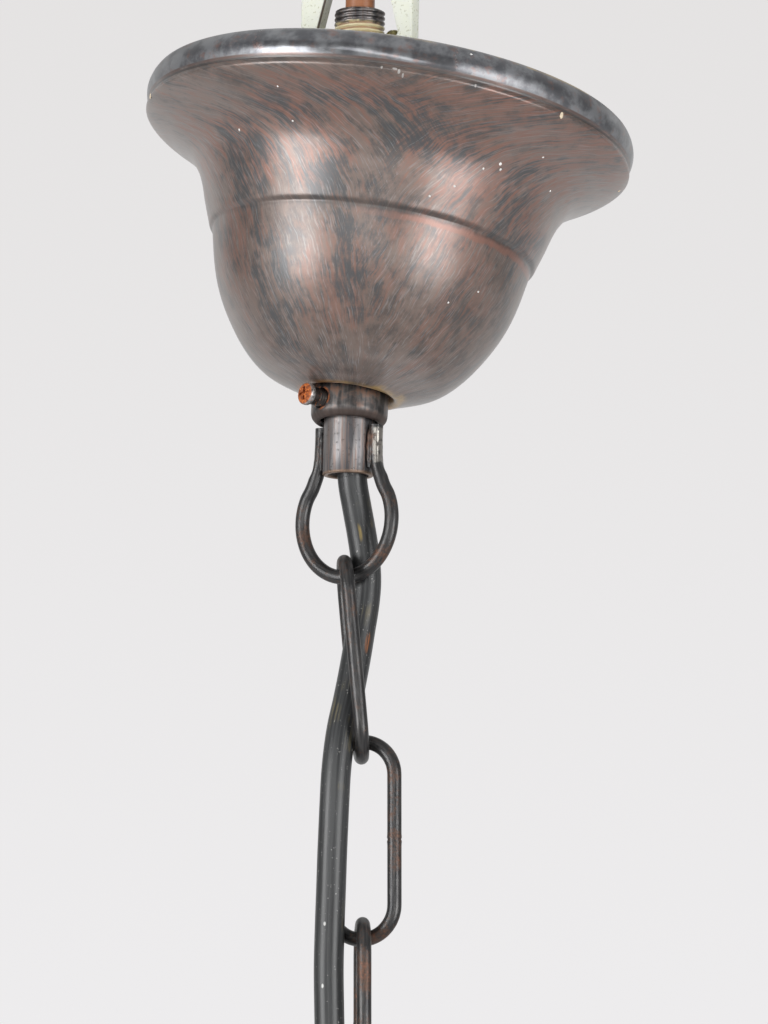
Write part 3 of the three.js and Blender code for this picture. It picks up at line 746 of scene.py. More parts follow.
def window_shade(n):
    """Painted shade: a dark line along the front edge of the window's sides."""
    x, y, z = (part * (1 / MM) for part in n.parts(n.place()))
    cosine, sine = math.cos(STIRRUP_TURN), math.sin(STIRRUP_TURN)
    u = x * cosine + y * sine
    v = y * cosine - x * sine
    rise = z + (SEAT_Z - BAR_TOP)
    off = (u.size() - (rise * -WINDOW_SLOPE + WINDOW_HALF)).size()
    return off.step(0.6, 0.4) * v.between(*WINDOW_SHADE_DEPTH, 0.15) * rise.step(-0.2, 0.6)


def nylon():
    """Pale green-cream nylon that light goes into, aged and finely speckled."""
    n = Nodes("nylon")
    specks = n.noise(1900, 2).step(0.60, 0.67)
    n.tone = n.mix(n.noise(120, 3), *NYLON_TONES)
    n.over(specks * 0.7, NYLON_SPECK)
    # Painted shade along the front edges of the window
    n.over(window_shade(n), WINDOW_EDGE_SHADE)
    n.set(base_color=n.tone, roughness=0.42, subsurface_weight=0.5,
          subsurface_radius=(0.004, 0.004, 0.003), subsurface_scale=0.5)
    n.bump(n.noise(700, 2), 0.12, 0.1)
    return n.owner


SHEATH_TONES = ((0.020, 0.021, 0.022), (0.040, 0.042, 0.043))
DUST = (0.45, 0.44, 0.42)
SMEAR = (0.16, 0.13, 0.06)
RUSTY_STUB = (0.30, 0.115, 0.048)
CHALK = (0.6, 0.6, 0.58)
# Old marks on the flex: angle and distance along it, half sizes and colour
FLEX_MARKS = [(262, 108, (0.7, 2.2), (0.22, 0.16, 0.05)),
              (310, 130.5, (0.8, 2.6), (0.25, 0.09, 0.03)),
              (250, 187, (0.35, 0.5), CHALK), (245, 199, (0.3, 0.5), CHALK)]


def sheath():
    """Dull black PVC, scuffed along its length and marked with a little yellow and rust."""
    n = Nodes("sheath")
    angle, along = n.lay()
    thin = streaks(n, angle, along, FLEX_R, 0.5, 22, 2.0)
    fields = n.noise(110, 2)
    n.tone = n.mix(thin.step(0.42, 0.65), *SHEATH_TONES)
    n.over(n.noise(2600, 1).step(0.73, 0.77) * 0.7, DUST)
    n.over(fields.step(0.60, 0.70) * thin.step(0.5, 0.62) * 0.5, SMEAR)
    for degrees, distance, (half_width, half_height), shade in FLEX_MARKS:
        u = (angle - math.radians(degrees)) * (FLEX_R / half_width)
        v = (along - distance) * (1 / half_height)
        near = (u * u + v * v + fields * 1.2).step(1.6, 0.7)
        n.over(near * thin.step(0.40, 0.56), shade)
    n.over(along.step(6.0, 4.0) * fields.step(0.2, 0.4), RUSTY_STUB)
    n.set(base_color=n.tone, roughness=thin * 0.25 + 0.26)
    n.bump(thin, 0.25, 0.1)
    return n.owner


def moulded(name, low, high, roughness):
    """A moulded plastic or soft rubber with slow changes of tone."""
    n = Nodes(name)
    n.set(base_color=n.mix(n.noise(160, 3), low, high), roughness=roughness)
    n.bump(n.noise(900, 2), 0.1, 0.08)
    return n.owner


def turned_metal(name, bright, dull, roughness):
    """A turned metal part with tarnish in patches."""
    n = Nodes(name)
    _, along = n.lay()
    tarnish = n.noise(500, 4).step(0.42, 0.64)
    n.set(base_color=n.mix(tarnish, bright, dull), metallic=0.95,
          roughness=tarnish * 0.25 + roughness)
    n.bump(n.noise(1.0, 1, at=n.axes(0.0, 0.0, along * 9.0)), 0.15, 0.05)
    return n.owner


EARTH_GREEN = (0.03, 0.24, 0.045)
EARTH_YELLOW = (0.78, 0.62, 0.04)


def striped_core():
    """The earth core: green with a yellow stripe that winds slowly round it."""
    n = Nodes("core_green_yellow")
    angle, along = n.lay()
    stripe = (along * 0.22 + angle).sine().step(0.15, 0.3)
    n.set(base_color=n.mix(stripe, EARTH_GREEN, EARTH_YELLOW), roughness=0.4)
    n.bump(n.noise(900, 2), 0.1, 0.08)
    return n.owner


PAINT = canopy_paint()
TUBE_STEEL = tube_steel()
DARK_WIRE = dark_wire()
BAIL_WIRE = dark_wire("bail_wire", True)
COLLAR_STEEL = collar_steel()
RUSTY_STEEL = rusty_steel()
NYLON = nylon()
SHEATH = sheath()
POLYETHYLENE = moulded("polyethylene", (0.72, 0.70, 0.62), (0.82, 0.80, 0.74), 0.4)
BRASS = turned_metal("brass", (0.62, 0.44, 0.18), (0.30, 0.20, 0.09), 0.25)
OLIVE_BRASS = turned_metal("olive_brass", (0.30, 0.27, 0.12), (0.14, 0.12, 0.06), 0.35)
COPPER = turned_metal("copper", (0.72, 0.34, 0.18), (0.38, 0.16, 0.08), 0.25)
CORE_FINISHES = [
    moulded("core_brown", (0.13, 0.045, 0.022), (0.18, 0.065, 0.035), 0.4),
    moulded("core_blue", (0.03, 0.12, 0.38), (0.05, 0.16, 0.46), 0.4),
    striped_core(),
]

# Flex: the route repeats the points of its CAD solid
FLEX_STEP = 0.8
FLEX_POINTS = [
    [0, 0, 96.8], [0, 0, 86], [0.1, -0.1, 68], [-0.1, 0.1, 48], [0, -0.4, 28],
    [0.15, -0.55, 14], [0.3, -0.25, 8], [0.6, 0.15, 3], [1.0, 0.7, -1.5], [1.9, 1.45, -6],
    [2.95, 2.3, -11], [3.8, 2.75, -16], [4.15, 2.85, -20.5], [3.9, 2.6, -25], [3.25, 2.1, -30],
    [2.6, 1.2, -35], [1.85, 0.1, -40], [1.0, -1.15, -45], [0.15, -2.4, -49.5],
    [-0.42, -3.3, -54], [-0.8, -3.7, -59], [-0.95, -3.65, -64], [-1.05, -3.35, -69],
    [-1.15, -3.15, -75], [-1.2, -3.05, -82], [-1.27, -2.95, -90], [-1.25, -2.9, -97],
    [-0.95, -2.85, -105], [-0.62, -2.85, -112], [-0.3, -2.85, -118], [0.25, -2.8, -124],
    [1.25, -2.4, -130], [2.5, -1.75, -136], [3.8, -1.15, -142], [4.9, -0.6, -148],
    [5.65, -0.25, -154], [5.98, -0.05, -160], [6.06, 0, -167], [6.06, 0, -174],
]
# Heights between its pieces: the tube's mouth and the middles of the links
FLEX_STOPS = (0.0, -38.0, -73.2, -108.5)


def add_flex():
    line = smooth_line(FLEX_POINTS, FLEX_STEP)
    lengths = distances(line)
    marks = [0, *(int(np.argmin(abs(line[:, 2] - z))) for z in FLEX_STOPS), len(line) - 1]
    pieces = [
        ("flex_in_tube", None, None, ["flex_hanger"]),
        ("flex_at_bail", "hanger", "link_1", ["flex_hanger"]),
        ("flex_at_link_1", "link_1", "link_2", ["flex_link_1"]),
        ("flex_at_link_2", "link_2", "link_3", ["flex_link_2"]),
        ("flex_at_link_3", "link_3", "stem", ["flex_link_3", "flex_stem"]),
    ]
    for (name, above, below, nodes), first, last in zip(pieces, marks, marks[1:]):
        path = line[first:last + 1]
        tube = swept(name, path, round_section(FLEX_R, 32), start=lengths[first])
        settle(tube, None if above else "hanger", SHEATH, *nodes)
        if above is None:
            continue
        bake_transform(tube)


# Tubes with an outside thread
TUBE_BORE_R = 4.0
TUBE_LENGTH = 93.4
THREAD_LENGTH = 18.0
THREAD_DEPTH = 0.55
TUBE_EDGE = 0.18
TURN_STEPS = 10  # rings of points in each turn of the thread


def threaded_tube(name, length, thread, place=None, sides=72):
    """A tube from height 0 upwards with a real helical thread at its top."""
    angles, ring = circle(sides)
    share = angles[:-1] / (2 * math.pi)
    plain = length - thread
    pitch_step = THREAD_PITCH / TURN_STEPS

    def level(radius, z):
        return np.c_[ring * radius, np.full(sides, z)]

    rings = [level(TUBE_BORE_R, TUBE_EDGE), level(TUBE_BORE_R + TUBE_EDGE, 0),
             level(TUBE_R - TUBE_EDGE, 0)]
    for z in [*np.linspace(TUBE_EDGE, plain, 12),
              *np.arange(plain + pitch_step, length - TUBE_EDGE, pitch_step)]:
        turn = (z / THREAD_PITCH - share) % 1
        groove = np.clip(1.6 * (0.5 - 0.5 * np.cos(2 * math.pi * turn)) - 0.3, 0, 1)
        fade = np.clip((z - plain) / THREAD_PITCH, 0, 1) * np.clip(2 * (length - z), 0.35, 1)
        rings.append(level((TUBE_R - THREAD_DEPTH * groove * fade)[:, None], z))
    rings.append(level(TUBE_R - THREAD_DEPTH, length))
    rings += [level(TUBE_BORE_R, z) for z in np.linspace(length, 0, 14)[:-1]]
    along = [r[0, 2] for r in rings] + [rings[0][0, 2]]
    return surface(name, rings, (along, angles), closed=True, place=place, sharp=50)


# Bails: wire loops whose legs are flattened and welded on the tubes
LEG_TOP = 9.75
LEG_FLAT = 0.3
LEG_BOW = 0.25
LEG_BOW_Z = 3.0
LEG_STRAIGHT_Z = 6.0
LEG_PRESS = 0.25  # how much of a leg's outer side is pressed flat
BAIL_SHOULDER = math.radians(38)
WIRE_STEP = 0.5
WELD_R = 0.62
WELD_OFFSET = 0.42
# Half width and half height of each bail's loop, and how far its foot hangs below the tube's end
UPPER_LOOP = (10.1, 11.2)
UPPER_DROP = 20.1
STEM_LOOP = (9.9, 14.5)
STEM_DROP = 27.0
STEM_MOUTH = (6.0131, 0, -150.6201)
UPPER_BAIL = Matrix.Rotation(math.radians(-30), 4, "Z")
STEM_PLACE = (
    Matrix.Translation(STEM_MOUTH) @ Matrix.Rotation(math.radians(-20), 4, "Z")
    @ Matrix.Rotation(math.pi, 4, "X")
)
STEM_LENGTH = 30.0
STEM_THREAD = 10.0


def mirrored(side):
    """An outline whose other half is that half without its first point, read backwards."""
    return [(-p[0], *p[1:]) for p in reversed(side[1:])]


def bail_line(half_width, half_height, drop):
    """The CAD bail's centre line, from one leg's end to the other's."""
    leg_x = TUBE_R + WIRE_R - LEG_FLAT
    side = [
        (half_width * math.cos(a), 0, half_height - drop + half_height * math.sin(a))
        for a in np.linspace(-math.pi / 2, BAIL_SHOULDER, 10)
    ]
    side += [(leg_x + LEG_BOW, 0, LEG_BOW_Z), (leg_x, 0, LEG_STRAIGHT_Z), (leg_x, 0, LEG_TOP)]
    return mirrored(side) + side


def measure_from_ends(data):
    """Makes the distance along a wire the one from its nearer end."""
    layer = data.uv_layers["Lay"]
    corners = np.empty(2 * len(layer.data), np.float32)
    layer.data.foreach_get("uv", corners)
    corners[1::2] = np.minimum(corners[1::2], corners[1::2].max() - corners[1::2])
    layer.data.foreach_set("uv", corners)


def press_on_tube(data, matrix):
    """Flattens the legs where they lie on the tube, and their outer side a little."""
    flat_x = TUBE_R + 2 * WIRE_R - LEG_FLAT - LEG_PRESS
    inward = matrix.inverted()
    for vertex in data.vertices:
        p = inward @ (vertex.co / MM)
        if p.z < 0:
            continue
        reach = math.hypot(p.x, p.y)
        if reach < TUBE_R - JOIN:
            p.x *= (TUBE_R - JOIN) / reach
            p.y *= (TUBE_R - JOIN) / reach
        over = abs(p.x) - flat_x
        if over > 0:
            p.x -= math.copysign(over * 0.85 * min(1.0, p.z / LEG_BOW_Z), p.x)
        vertex.co = (matrix @ p) * MM


def weld_bead(sign, across, place):
    """A low fillet along one side of a leg."""
    x, y = sign * (TUBE_R + WELD_OFFSET), across * WIRE_R * 0.86
    line = [(x, y, z) for z in np.linspace(1.2, LEG_TOP - 1.0, 15)]
    total = line[-1][2] - line[0][2]
    _, ring = circle(12)

    def section(distance):
        share = min(max(distance / total, 0.02), 0.98)
        swell = (4 * share * (1 - share)) ** 0.35 * (1 + 0.12 * math.sin(9 * distance))
        return ring * WELD_R * swell

    return swept("weld", line, section, place=place)


def add_bail(name, node, body, loop, drop, place):
    line = smooth_line(bail_line(*loop, drop), WIRE_STEP)
    wire = swept(name, line, round_section(WIRE_R, 28), place=place)
    press_on_tube(wire.data, LIFT @ place)
    measure_from_ends(wire.data)
    welds = [weld_bead(sign, across, place) for sign in (-1, 1) for across in (-1, 1)]
    settle(wire, body, BAIL_WIRE, node, slot="dark_wire")
    settle(one_piece(name + "_welds", welds), body, DARK_WIRE)


# Chain links
LINK_WIDTH = 16.0
LINK_LENGTH = 41.4
LINK_LEANS = (-6.6, -1.43, -1.43)
LINK_TWISTS = (93, -18, 93)
LINK_PITCH = LINK_LENGTH - 2 * WIRE_R
HOOK_DISTANCE = 2 * WIRE_R + 0.2
CHAIN_TOP = (-0.35, 0, HOOK_DISTANCE - UPPER_DROP)


def link_line():
    """An oval's centre line that starts and ends at the seam, half way up its right side."""
    end_r = LINK_WIDTH / 2 - WIRE_R
    side = LINK_PITCH / 2 - end_r
    up = [(end_r, 0, z) for z in np.linspace(0, side, 20)]
    turn = [
        (end_r * math.cos(a), 0, side + end_r * math.sin(a)) for a in np.linspace(0, math.pi, 30)
    ]
    half = up[:-1] + turn + [(-x, y, z) for x, y, z in reversed(up[:-1])]
    return even_line(np.array(half + [(-x, y, -z) for x, y, z in half[1:]]), 0.45)


def link_section(total):
    """A round wire with a faint swelling at the weld in the middle of one side."""
    _, ring = circle(28)

    def section(distance):
        near = min(distance, total - distance)
        return ring * WIRE_R * (1 + 0.05 * math.exp(-((near - 0.5) / 0.3) ** 2)
                                - 0.05 * math.exp(-(near / 0.22) ** 2))

    return section


def add_links():
    top = Vector(CHAIN_TOP)
    line = link_line()[:-1]
    total = len(line) * np.linalg.norm(line[1] - line[0])
    for number, lean, twist in zip((1, 2, 3), LINK_LEANS, LINK_TWISTS):
        slope = math.radians(lean)
        down = Vector((-math.sin(slope), 0, -math.cos(slope))) * LINK_PITCH
        place = (
            Matrix.Translation(top + down / 2) @ Matrix.Rotation(slope, 4, "Y")
            @ Matrix.Rotation(math.radians(twist), 4, "Z")
        )
        link = swept(f"link_{number}", line, link_section(total), place=place, closed=True)
        settle(link, f"link_{number}", DARK_WIRE, f"chain_link_{number}")
        top += down + Vector((0, 0, HOOK_DISTANCE))


# Collar and its screw
COLLAR_AXIS = askew((1.5, 6.0))
COLLAR_BORE_R = 5.6
COLLAR_HEIGHT = 7.4
GRUB_HEAD_R = 2.2
GRUB_REACH = 11.8
GRUB_TIP = 5.5
GRUB_HEAD_HEIGHT = 1.4
GRUB_PITCH = 0.6
GRUB_HOLE_GAP = 0.25
GRUB_RECESS = (2.7, 0.6, 0.55)  # the cross's span, width and depth
GRUB_PLACE = (
    COLLAR_AXIS @ Matrix.Translation((0, 0, -GRUB_DROP)) @ Matrix.Rotation(GRUB_ANGLE, 4, "Z")
    @ Matrix.Rotation(math.pi / 2, 4, "Y")
)


def add_collar():
    foot = -COLLAR_HEIGHT
    profile = rounded([
        (COLLAR_BORE_R + 0.3, foot, 0), (COLLAR_R - 0.9, foot, 0.35), (COLLAR_R, foot + 1.0, 0.9),
        (COLLAR_R, -0.5), (COLLAR_R - 0.15, -0.15, 0.3), (COLLAR_R - 0.5, 0, 0.2),
        (COLLAR_BORE_R, 0, 0.15), (COLLAR_BORE_R, foot + 0.4, 0.3),
    ])
    ring = turned("collar_ring", profile, 96, COLLAR_AXIS, closed=True)
    ring = cut(ring, drill(GRUB_R + GRUB_HOLE_GAP, TUBE_R, COLLAR_R + 1, 40, GRUB_PLACE))
    settle(ring, "collar", COLLAR_STEEL, "collar")


def add_grub_screw():
    under = GRUB_REACH - GRUB_HEAD_HEIGHT
    shank = [(0, GRUB_TIP), (GRUB_R - 0.4, GRUB_TIP), (GRUB_R, GRUB_TIP + 0.4)]
    for z in GRUB_TIP + GRUB_PITCH * np.arange(1, 6):
        shank += [(GRUB_R, z), (GRUB_R - 0.22, z + GRUB_PITCH / 2)]
    profile = rounded([
        *shank, (GRUB_R, GRUB_TIP + 6 * GRUB_PITCH + 0.1), (GRUB_R, under - 0.15, 0.15),
        (GRUB_HEAD_R, under, 0.5), (GRUB_HEAD_R, GRUB_REACH - 0.35, 0.3),
        (GRUB_HEAD_R - 0.5, GRUB_REACH, 0.3), (0, GRUB_REACH),
    ])
    screw = turned("grub_screw_steel", profile, 64, GRUB_PLACE)
    span, width, depth = GRUB_RECESS
    for a, b in ((span, width), (width, span)):
        low = (-a / 2, -b / 2, GRUB_REACH - depth)
        high = (a / 2, b / 2, GRUB_REACH + 1)
        screw = cut(screw, box_between("slot", low, high, GRUB_PLACE, HEAD_SIDE_ALONG + 1))
    settle(screw, "grub_screw", RUSTY_STEEL, "grub_screw")


# Canopy: [radius, height] of its outer side from the collar's top
CANOPY_AXIS = askew((6.84, 5.2))
SHEET = 0.8
CUP = [(5.95, 1.05), (7.5, 1.05), (7.86, 0.9), (8.0, 0.55), (8.2, -0.1), (8.45, -0.85),
       (8.7, -1.45), (9.05, -1.8), (9.5, -1.9), (10.2, -1.75)]
BOWL = [(12.3, -0.8), (15, 0.25), (18, 1.65), (20.4, 3.55), (23.04, 6.5), (25.7, 10.4),
        (27.8, 14.2), (29.4, 18.1), (30.5, 22), (31.2, 25.3), (31.6, 27.3)]
CREASE = [(31.7, 27.85), (31.72, 28.1), (31.85, 28.35), (32.2, 28.6), (32.5, 29.0)]
BELL = [(32.95, 30.3), (34.1, 33.7), (35.3, 37.6), (36.6, 40.5), (38.8, 43.4), (42.8, 46.3),
        (46.1, 48.3)]
RIDGE = [(47.5, 49.35), (48.1, 49.95), (48.42, 50.4), (48.42, 50.75), (48.2, 51.05)]
LIP = [(48.02, 51.35), (48.05, 51.7), (48.3, 52.15), (48.62, 53.0), (48.75, 53.9), (48.72, 54.8),
       (48.45, 55.8), (48.1, 56.6), (47.55, 57.4), (46.7, 57.95), (45.9, 57.85), (45.4, 57.3)]
CURLED_STEPS = 24  # steps at the lip's end that the sheet's inner side doesn't follow


def canopy_outside():
    points = [(r, z, 0) for r, z in CUP + BOWL + CREASE + BELL + RIDGE + LIP]
    return smooth_line(points, 0.3)[:, :2]


def add_canopy():
    outside = canopy_outside()
    ahead = np.gradient(outside, axis=0)
    ahead /= np.linalg.norm(ahead, axis=1)[:, None]
    inside = outside + SHEET * np.stack([-ahead[:, 1], ahead[:, 0]], axis=1)
    keep = inside[:, 0] < LIP[-1][0] - 0.4
    inside = inside[keep & (np.arange(len(inside)) < len(inside) - CURLED_STEPS)]
    inside[0] = (CUP[0][0], CUP[0][1] + SHEET)
    profile = np.vstack([outside, inside[::-1]])
    shell = turned("canopy_shell", profile, 240, CANOPY_AXIS, closed=True, sharp=60)
    settle(shell, "canopy", PAINT, "canopy")


# Specks of wall paint and drips that dried on the canopy: angle in degrees and distance along its
# outer side, then half width and half height
WHITE_SPECKS = [(-51, 59.1, 0.35, 0.35), (-50, 58.1, 0.25, 0.3), (-56, 57.1, 0.2, 0.25),
                (-64, 52.2, 0.25, 0.25), (-71.5, 49.1, 0.22, 0.22), (-39, 64.0, 0.3, 0.25),
                (-25, 59.1, 0.22, 0.25), (-40, 34.4, 0.22, 0.22), (-52, 30.2, 0.22, 0.22),
                (-139, 60.0, 0.25, 0.3), (-118, 60.7, 0.22, 0.2), (-119, 68.7, 0.2, 0.25),
                (-72, 80.8, 0.25, 0.2)]
PAINT_DRIPS = [(-89, 74.6, 0.5, 0.3), (-88, 74.1, 0.3, 0.5), (-87, 73.4, 0.22, 0.55),
               (-92, 74.5, 0.22, 0.35), (-70, 74.4, 0.25, 0.35)]
CREAM_CHIPS = [(-46, 74.3, 0.45, 0.7), (-168, 74.3, 0.4, 0.6), (5, 72.2, 0.3, 0.35)]
SPECK_HEIGHT = 0.12
SPECK_SINK = 0.06
SPECK_SIDES = 14


def speck(outside, angle, along, half_width, half_height):
    """A low dome on the canopy's outer side."""
    lengths = distances(outside)
    (r, z), (ahead_r, ahead_z) = (
        [np.interp(distance, lengths, outside[:, k]) for k in (0, 1)]
        for distance in (along, along + 0.2)
    )
    upward = Vector((ahead_r - r, 0, ahead_z - z)).normalized()
    outward = Vector((upward.z, 0, -upward.x))
    turn = Matrix((upward, outward.cross(upward), outward)).transposed().to_4x4()
    place = (CANOPY_AXIS @ Matrix.Rotation(math.radians(angle), 4, "Z")
             @ Matrix.Translation((r, 0, z)) @ turn)
    angles, ring = circle(SPECK_SIDES)
    rings = []
    for share in np.linspace(0, 0.96, 5):
        spread = math.sqrt(1 - share * share)
        height = -SPECK_SINK + (SPECK_HEIGHT + SPECK_SINK) * share
        level = ring * spread * (half_height, half_width)
        rings.append(np.c_[level, np.full(SPECK_SIDES, height)])
    return surface("speck", rings, (np.linspace(0, 1, 5), angles), place=place, sharp=80)


def add_specks():
    outside = canopy_outside()
    for name, spots, low, high in (
        ("white_specks", WHITE_SPECKS, (0.70, 0.69, 0.66), (0.85, 0.84, 0.82)),
        ("paint_drips", PAINT_DRIPS, (0.26, 0.24, 0.23), (0.44, 0.42, 0.40)),
        ("cream_chips", CREAM_CHIPS, (0.62, 0.50, 0.36), (0.78, 0.66, 0.48)),
    ):
        domes = one_piece(name, [speck(outside, *spot) for spot in spots])
        settle(domes, "canopy", moulded(name, low, high, 0.5), slot="canopy_paint")


# Nylon stirrup
STIRRUP_TWIST = Matrix.Rotation(STIRRUP_TURN, 4, "Z")
STIRRUP_HALF = 12.5
STIRRUP_THICKNESS = 3.4
STIRRUP_EDGE = 0.45
BAR_THICKNESS = 2.8
LEG_END = BAR_TOP + 9.1
EYE_R = 4.3
EYE_WALL = 6.0
EYE_Z = SEAT_Z - EYE_R
FOOT_R = 2.0
WINDOW_CORNER = 1.2
BOSS_R = 8.0
BOSS_TOP = BAR_TOP - 1.2
BOSS_HEIGHT = 6.7


def bent(start, corner, end, count=10):
    t = np.linspace(0, 1, count + 1)[1:, None]
    a, b, c = (np.array(p, float) for p in (start, corner, end))
    return [tuple(p) for p in (1 - t) ** 2 * a + 2 * t * (1 - t) * b + t ** 2 * c]


def round_top(side, radius, count):
    """The whole outline from its right half below the eye, closed by an arc about the eye."""
    side = side + [
        (radius * math.cos(a), EYE_Z + radius * math.sin(a))
        for a in np.linspace(0, math.pi / 2, count)[:-1]
    ]
    return side + [(0, EYE_Z + radius)] + mirrored(side)


def stirrup_outline():
    foot = BAR_TOP - BAR_THICKNESS
    top_r = EYE_R + EYE_WALL
    side = [(0, foot), (STIRRUP_HALF - FOOT_R, foot)]
    side += bent(side[-1], (STIRRUP_HALF, foot), (STIRRUP_HALF, foot + FOOT_R), 6)
    side += [(STIRRUP_HALF, LEG_END)]
    side += bent(side[-1], (STIRRUP_HALF, EYE_Z - EYE_R / 2), (top_r, EYE_Z))[:-1]
    return round_top(side, top_r, 12)


def window_outline():
    side = [(0, BAR_TOP), (WINDOW_HALF - WINDOW_CORNER, BAR_TOP)]
    end = (WINDOW_HALF - 0.35, BAR_TOP + WINDOW_CORNER)
    return round_top(side + bent(side[-1], (WINDOW_HALF, BAR_TOP), end, 5), EYE_R, 10)


def plate(name, outline, thickness, bevel):
    """An upright plate of that outline in the stirrup's plane."""
    work = bmesh.new()
    face = work.faces.new([work.verts.new((x, -thickness / 2, z)) for x, z in outline])
    back = bmesh.ops.extrude_face_region(work, geom=[face])
    moved = [v for v in back["geom"] if isinstance(v, bmesh.types.BMVert)]
    bmesh.ops.translate(work, verts=moved, vec=(0, thickness, 0))
    bmesh.ops.recalc_face_normals(work, faces=work.faces)
    if bevel:
        rims = [e for e in work.edges if len(e.link_faces) == 2 and e.calc_face_angle(0) > 1.2
                and abs(e.verts[0].co.y - e.verts[1].co.y) < 1e-4]
        bmesh.ops.bevel(work, geom=rims, offset=bevel, segments=3, affect="EDGES", profile=0.5)
    bmesh.ops.transform(work, matrix=LIFT @ STIRRUP_TWIST, verts=work.verts)
    bmesh.ops.scale(work, vec=(MM, MM, MM), verts=work.verts)
    data = bpy.data.meshes.new(name)
    work.to_mesh(data)
    work.free()
    data.uv_layers.new(name="Lay")
    shaded(data)
    return object_of(name, data)


def add_stirrup():
    body = plate("nylon_stirrup", stirrup_outline(), STIRRUP_THICKNESS, STIRRUP_EDGE)
    body = cut(body, plate("window", window_outline(), STIRRUP_THICKNESS + 2, 0))
    foot = BOSS_TOP - BOSS_HEIGHT
    body = join(body, pin("boss", BOSS_R, foot, BOSS_TOP, 0.5, 72))
    body = cut(body, drill(TUBE_R + JOIN, foot - 1, BAR_TOP + 1, 64))
    settle(body, "hanger", NYLON, "hook_stirrup")


LOCK_SCREW_R = 0.9
LOCK_HEAD_R = 1.6
LOCK_HEAD_HEIGHT = 1.6
LOCK_DEPTH = 5.7
LOCK_PLACE = STIRRUP_TWIST @ Matrix.Translation((7.75, 0, 0))


def add_lock_screw():
    top = BAR_TOP + LOCK_HEAD_HEIGHT
    foot = BAR_TOP - LOCK_DEPTH
    profile = rounded([
        (0, foot), (LOCK_SCREW_R / 2, foot, 0.1), (LOCK_SCREW_R, foot + LOCK_SCREW_R, 0.2),
        (LOCK_SCREW_R, BAR_TOP), (LOCK_HEAD_R, BAR_TOP, 0.15),
        (LOCK_HEAD_R, BAR_TOP + 0.9, 0.5), (LOCK_HEAD_R * 0.55, top - 0.05, 0.4), (0, top),
    ])
    screw = turned("lock_screw", profile, 48, LOCK_PLACE)
    slot = box_between("slot", (-0.22, -3, top - 0.5), (0.22, 3, top + 1), LOCK_PLACE)
    settle(cut(screw, slot), "hanger", OLIVE_BRASS, "stirrup_lock_screw", slot="brass")


# Cores, conductors and the connector strip
CORE_R = 1.15
CORE_NAMES = ("live", "neutral", "earth")
CORE_STARTS = [(-1.35, -0.8), (0, 1.55), (1.35, -0.8)]
POLE_X = (-9.0, 0.0, 9.0)
STRIP_Y = 16.0
STRIP_Z = 116.0
STRIP_HEIGHT = 15.0
POLE_R = 4.1
WEB = 3.2
WEB_INSET = 0.6
INSERT_R = 2.5
INSERT_BORE_R = 1.4
INSERT_LENGTH = 13.0
INSERT_FOOT = STRIP_Z + (STRIP_HEIGHT - INSERT_LENGTH) / 2
CONDUCTOR_R = 0.7
CONDUCTOR_LENGTH = 6.5
STRAND_R = 0.21
SCREW_ZS = (120.0, 127.0)
CHIMNEY_R = 2.9
CHIMNEY_REACH = 6.4
TERMINAL_HEAD_R = 1.75
TERMINAL_HEAD = 1.5
TERMINAL_R = 1.1
CORE_END = INSERT_FOOT - 0.3


def core_line(x, start):
    sx, sy = start
    foot = FLEX_POINTS[0][2]
    points = [
        (sx, sy, foot - 1.5), (sx, sy, foot + 0.3), (sx, sy + 0.2, foot + 2.3),
        (sx + x * 0.06, sy + 2.2, foot + 5.3), (x * 0.35, 6.2, foot + 7.9),
        (x * 0.62, 10.6, foot + 9.9), (x * 0.88, STRIP_Y - 1.6, CORE_END - 6.9),
        (x, STRIP_Y - 0.2, CORE_END - 3), (x, STRIP_Y, CORE_END),
    ]
    return smooth_line(points, 0.6)


def strand_line(x, i):
    """The middle strand runs straight, and the six round it wind about it."""
    reach = 0 if i == 6 else 2.1 * STRAND_R
    return [
        (x + reach * math.cos(i * math.pi / 3 + 0.5 * z),
         STRIP_Y + reach * math.sin(i * math.pi / 3 + 0.5 * z), z)
        for z in np.linspace(CORE_END - 0.5, INSERT_FOOT + CONDUCTOR_LENGTH, 24)
    ]


def add_cores():
    for name, x, start, finish in zip(CORE_NAMES, POLE_X, CORE_STARTS, CORE_FINISHES):
        core = swept(f"{name}_core", core_line(x, start), round_section(CORE_R))
        settle(core, "hanger", finish, f"core_{name}")
        strands = [swept("strand", strand_line(x, i), round_section(STRAND_R, 8)) for i in range(7)]
        settle(one_piece(f"{name}_strands", strands), "hanger", COPPER, f"conductor_{name}")


def pole_axis(x):
    return Matrix.Translation((x, STRIP_Y, 0))


def facing_back(x, z):
    """Z along +Y from a pole's axis."""
    return pole_axis(x) @ Matrix.Translation((0, 0, z)) @ Matrix.Rotation(-math.pi / 2, 4, "X")


def add_strip():
    top = STRIP_Z + STRIP_HEIGHT
    low = (POLE_X[0], STRIP_Y - WEB / 2, STRIP_Z + WEB_INSET)
    body = box_between("terminal_block", low, (POLE_X[-1], STRIP_Y + WEB / 2, top - WEB_INSET))
    for x in POLE_X:
        body = join(body, pin("pole", POLE_R, STRIP_Z, top, 0.4, 56, pole_axis(x)))
        for z in SCREW_ZS:
            chimney = rounded([(0, 0), (CHIMNEY_R, 0), (CHIMNEY_R, CHIMNEY_REACH, 0.35),
                               (0, CHIMNEY_REACH)])
            body = join(body, turned("chimney", chimney, 48, facing_back(x, z)))
    for x in POLE_X:
        body = cut(body, drill(INSERT_R + JOIN, STRIP_Z - 1, top + 1, 48, pole_axis(x)))
        for z in SCREW_ZS:
            way = drill(TERMINAL_HEAD_R + 0.3, 0, CHIMNEY_REACH + 1, 40, facing_back(x, z))
            body = cut(body, way)
    settle(body, "hanger", POLYETHYLENE, "connector_strip")


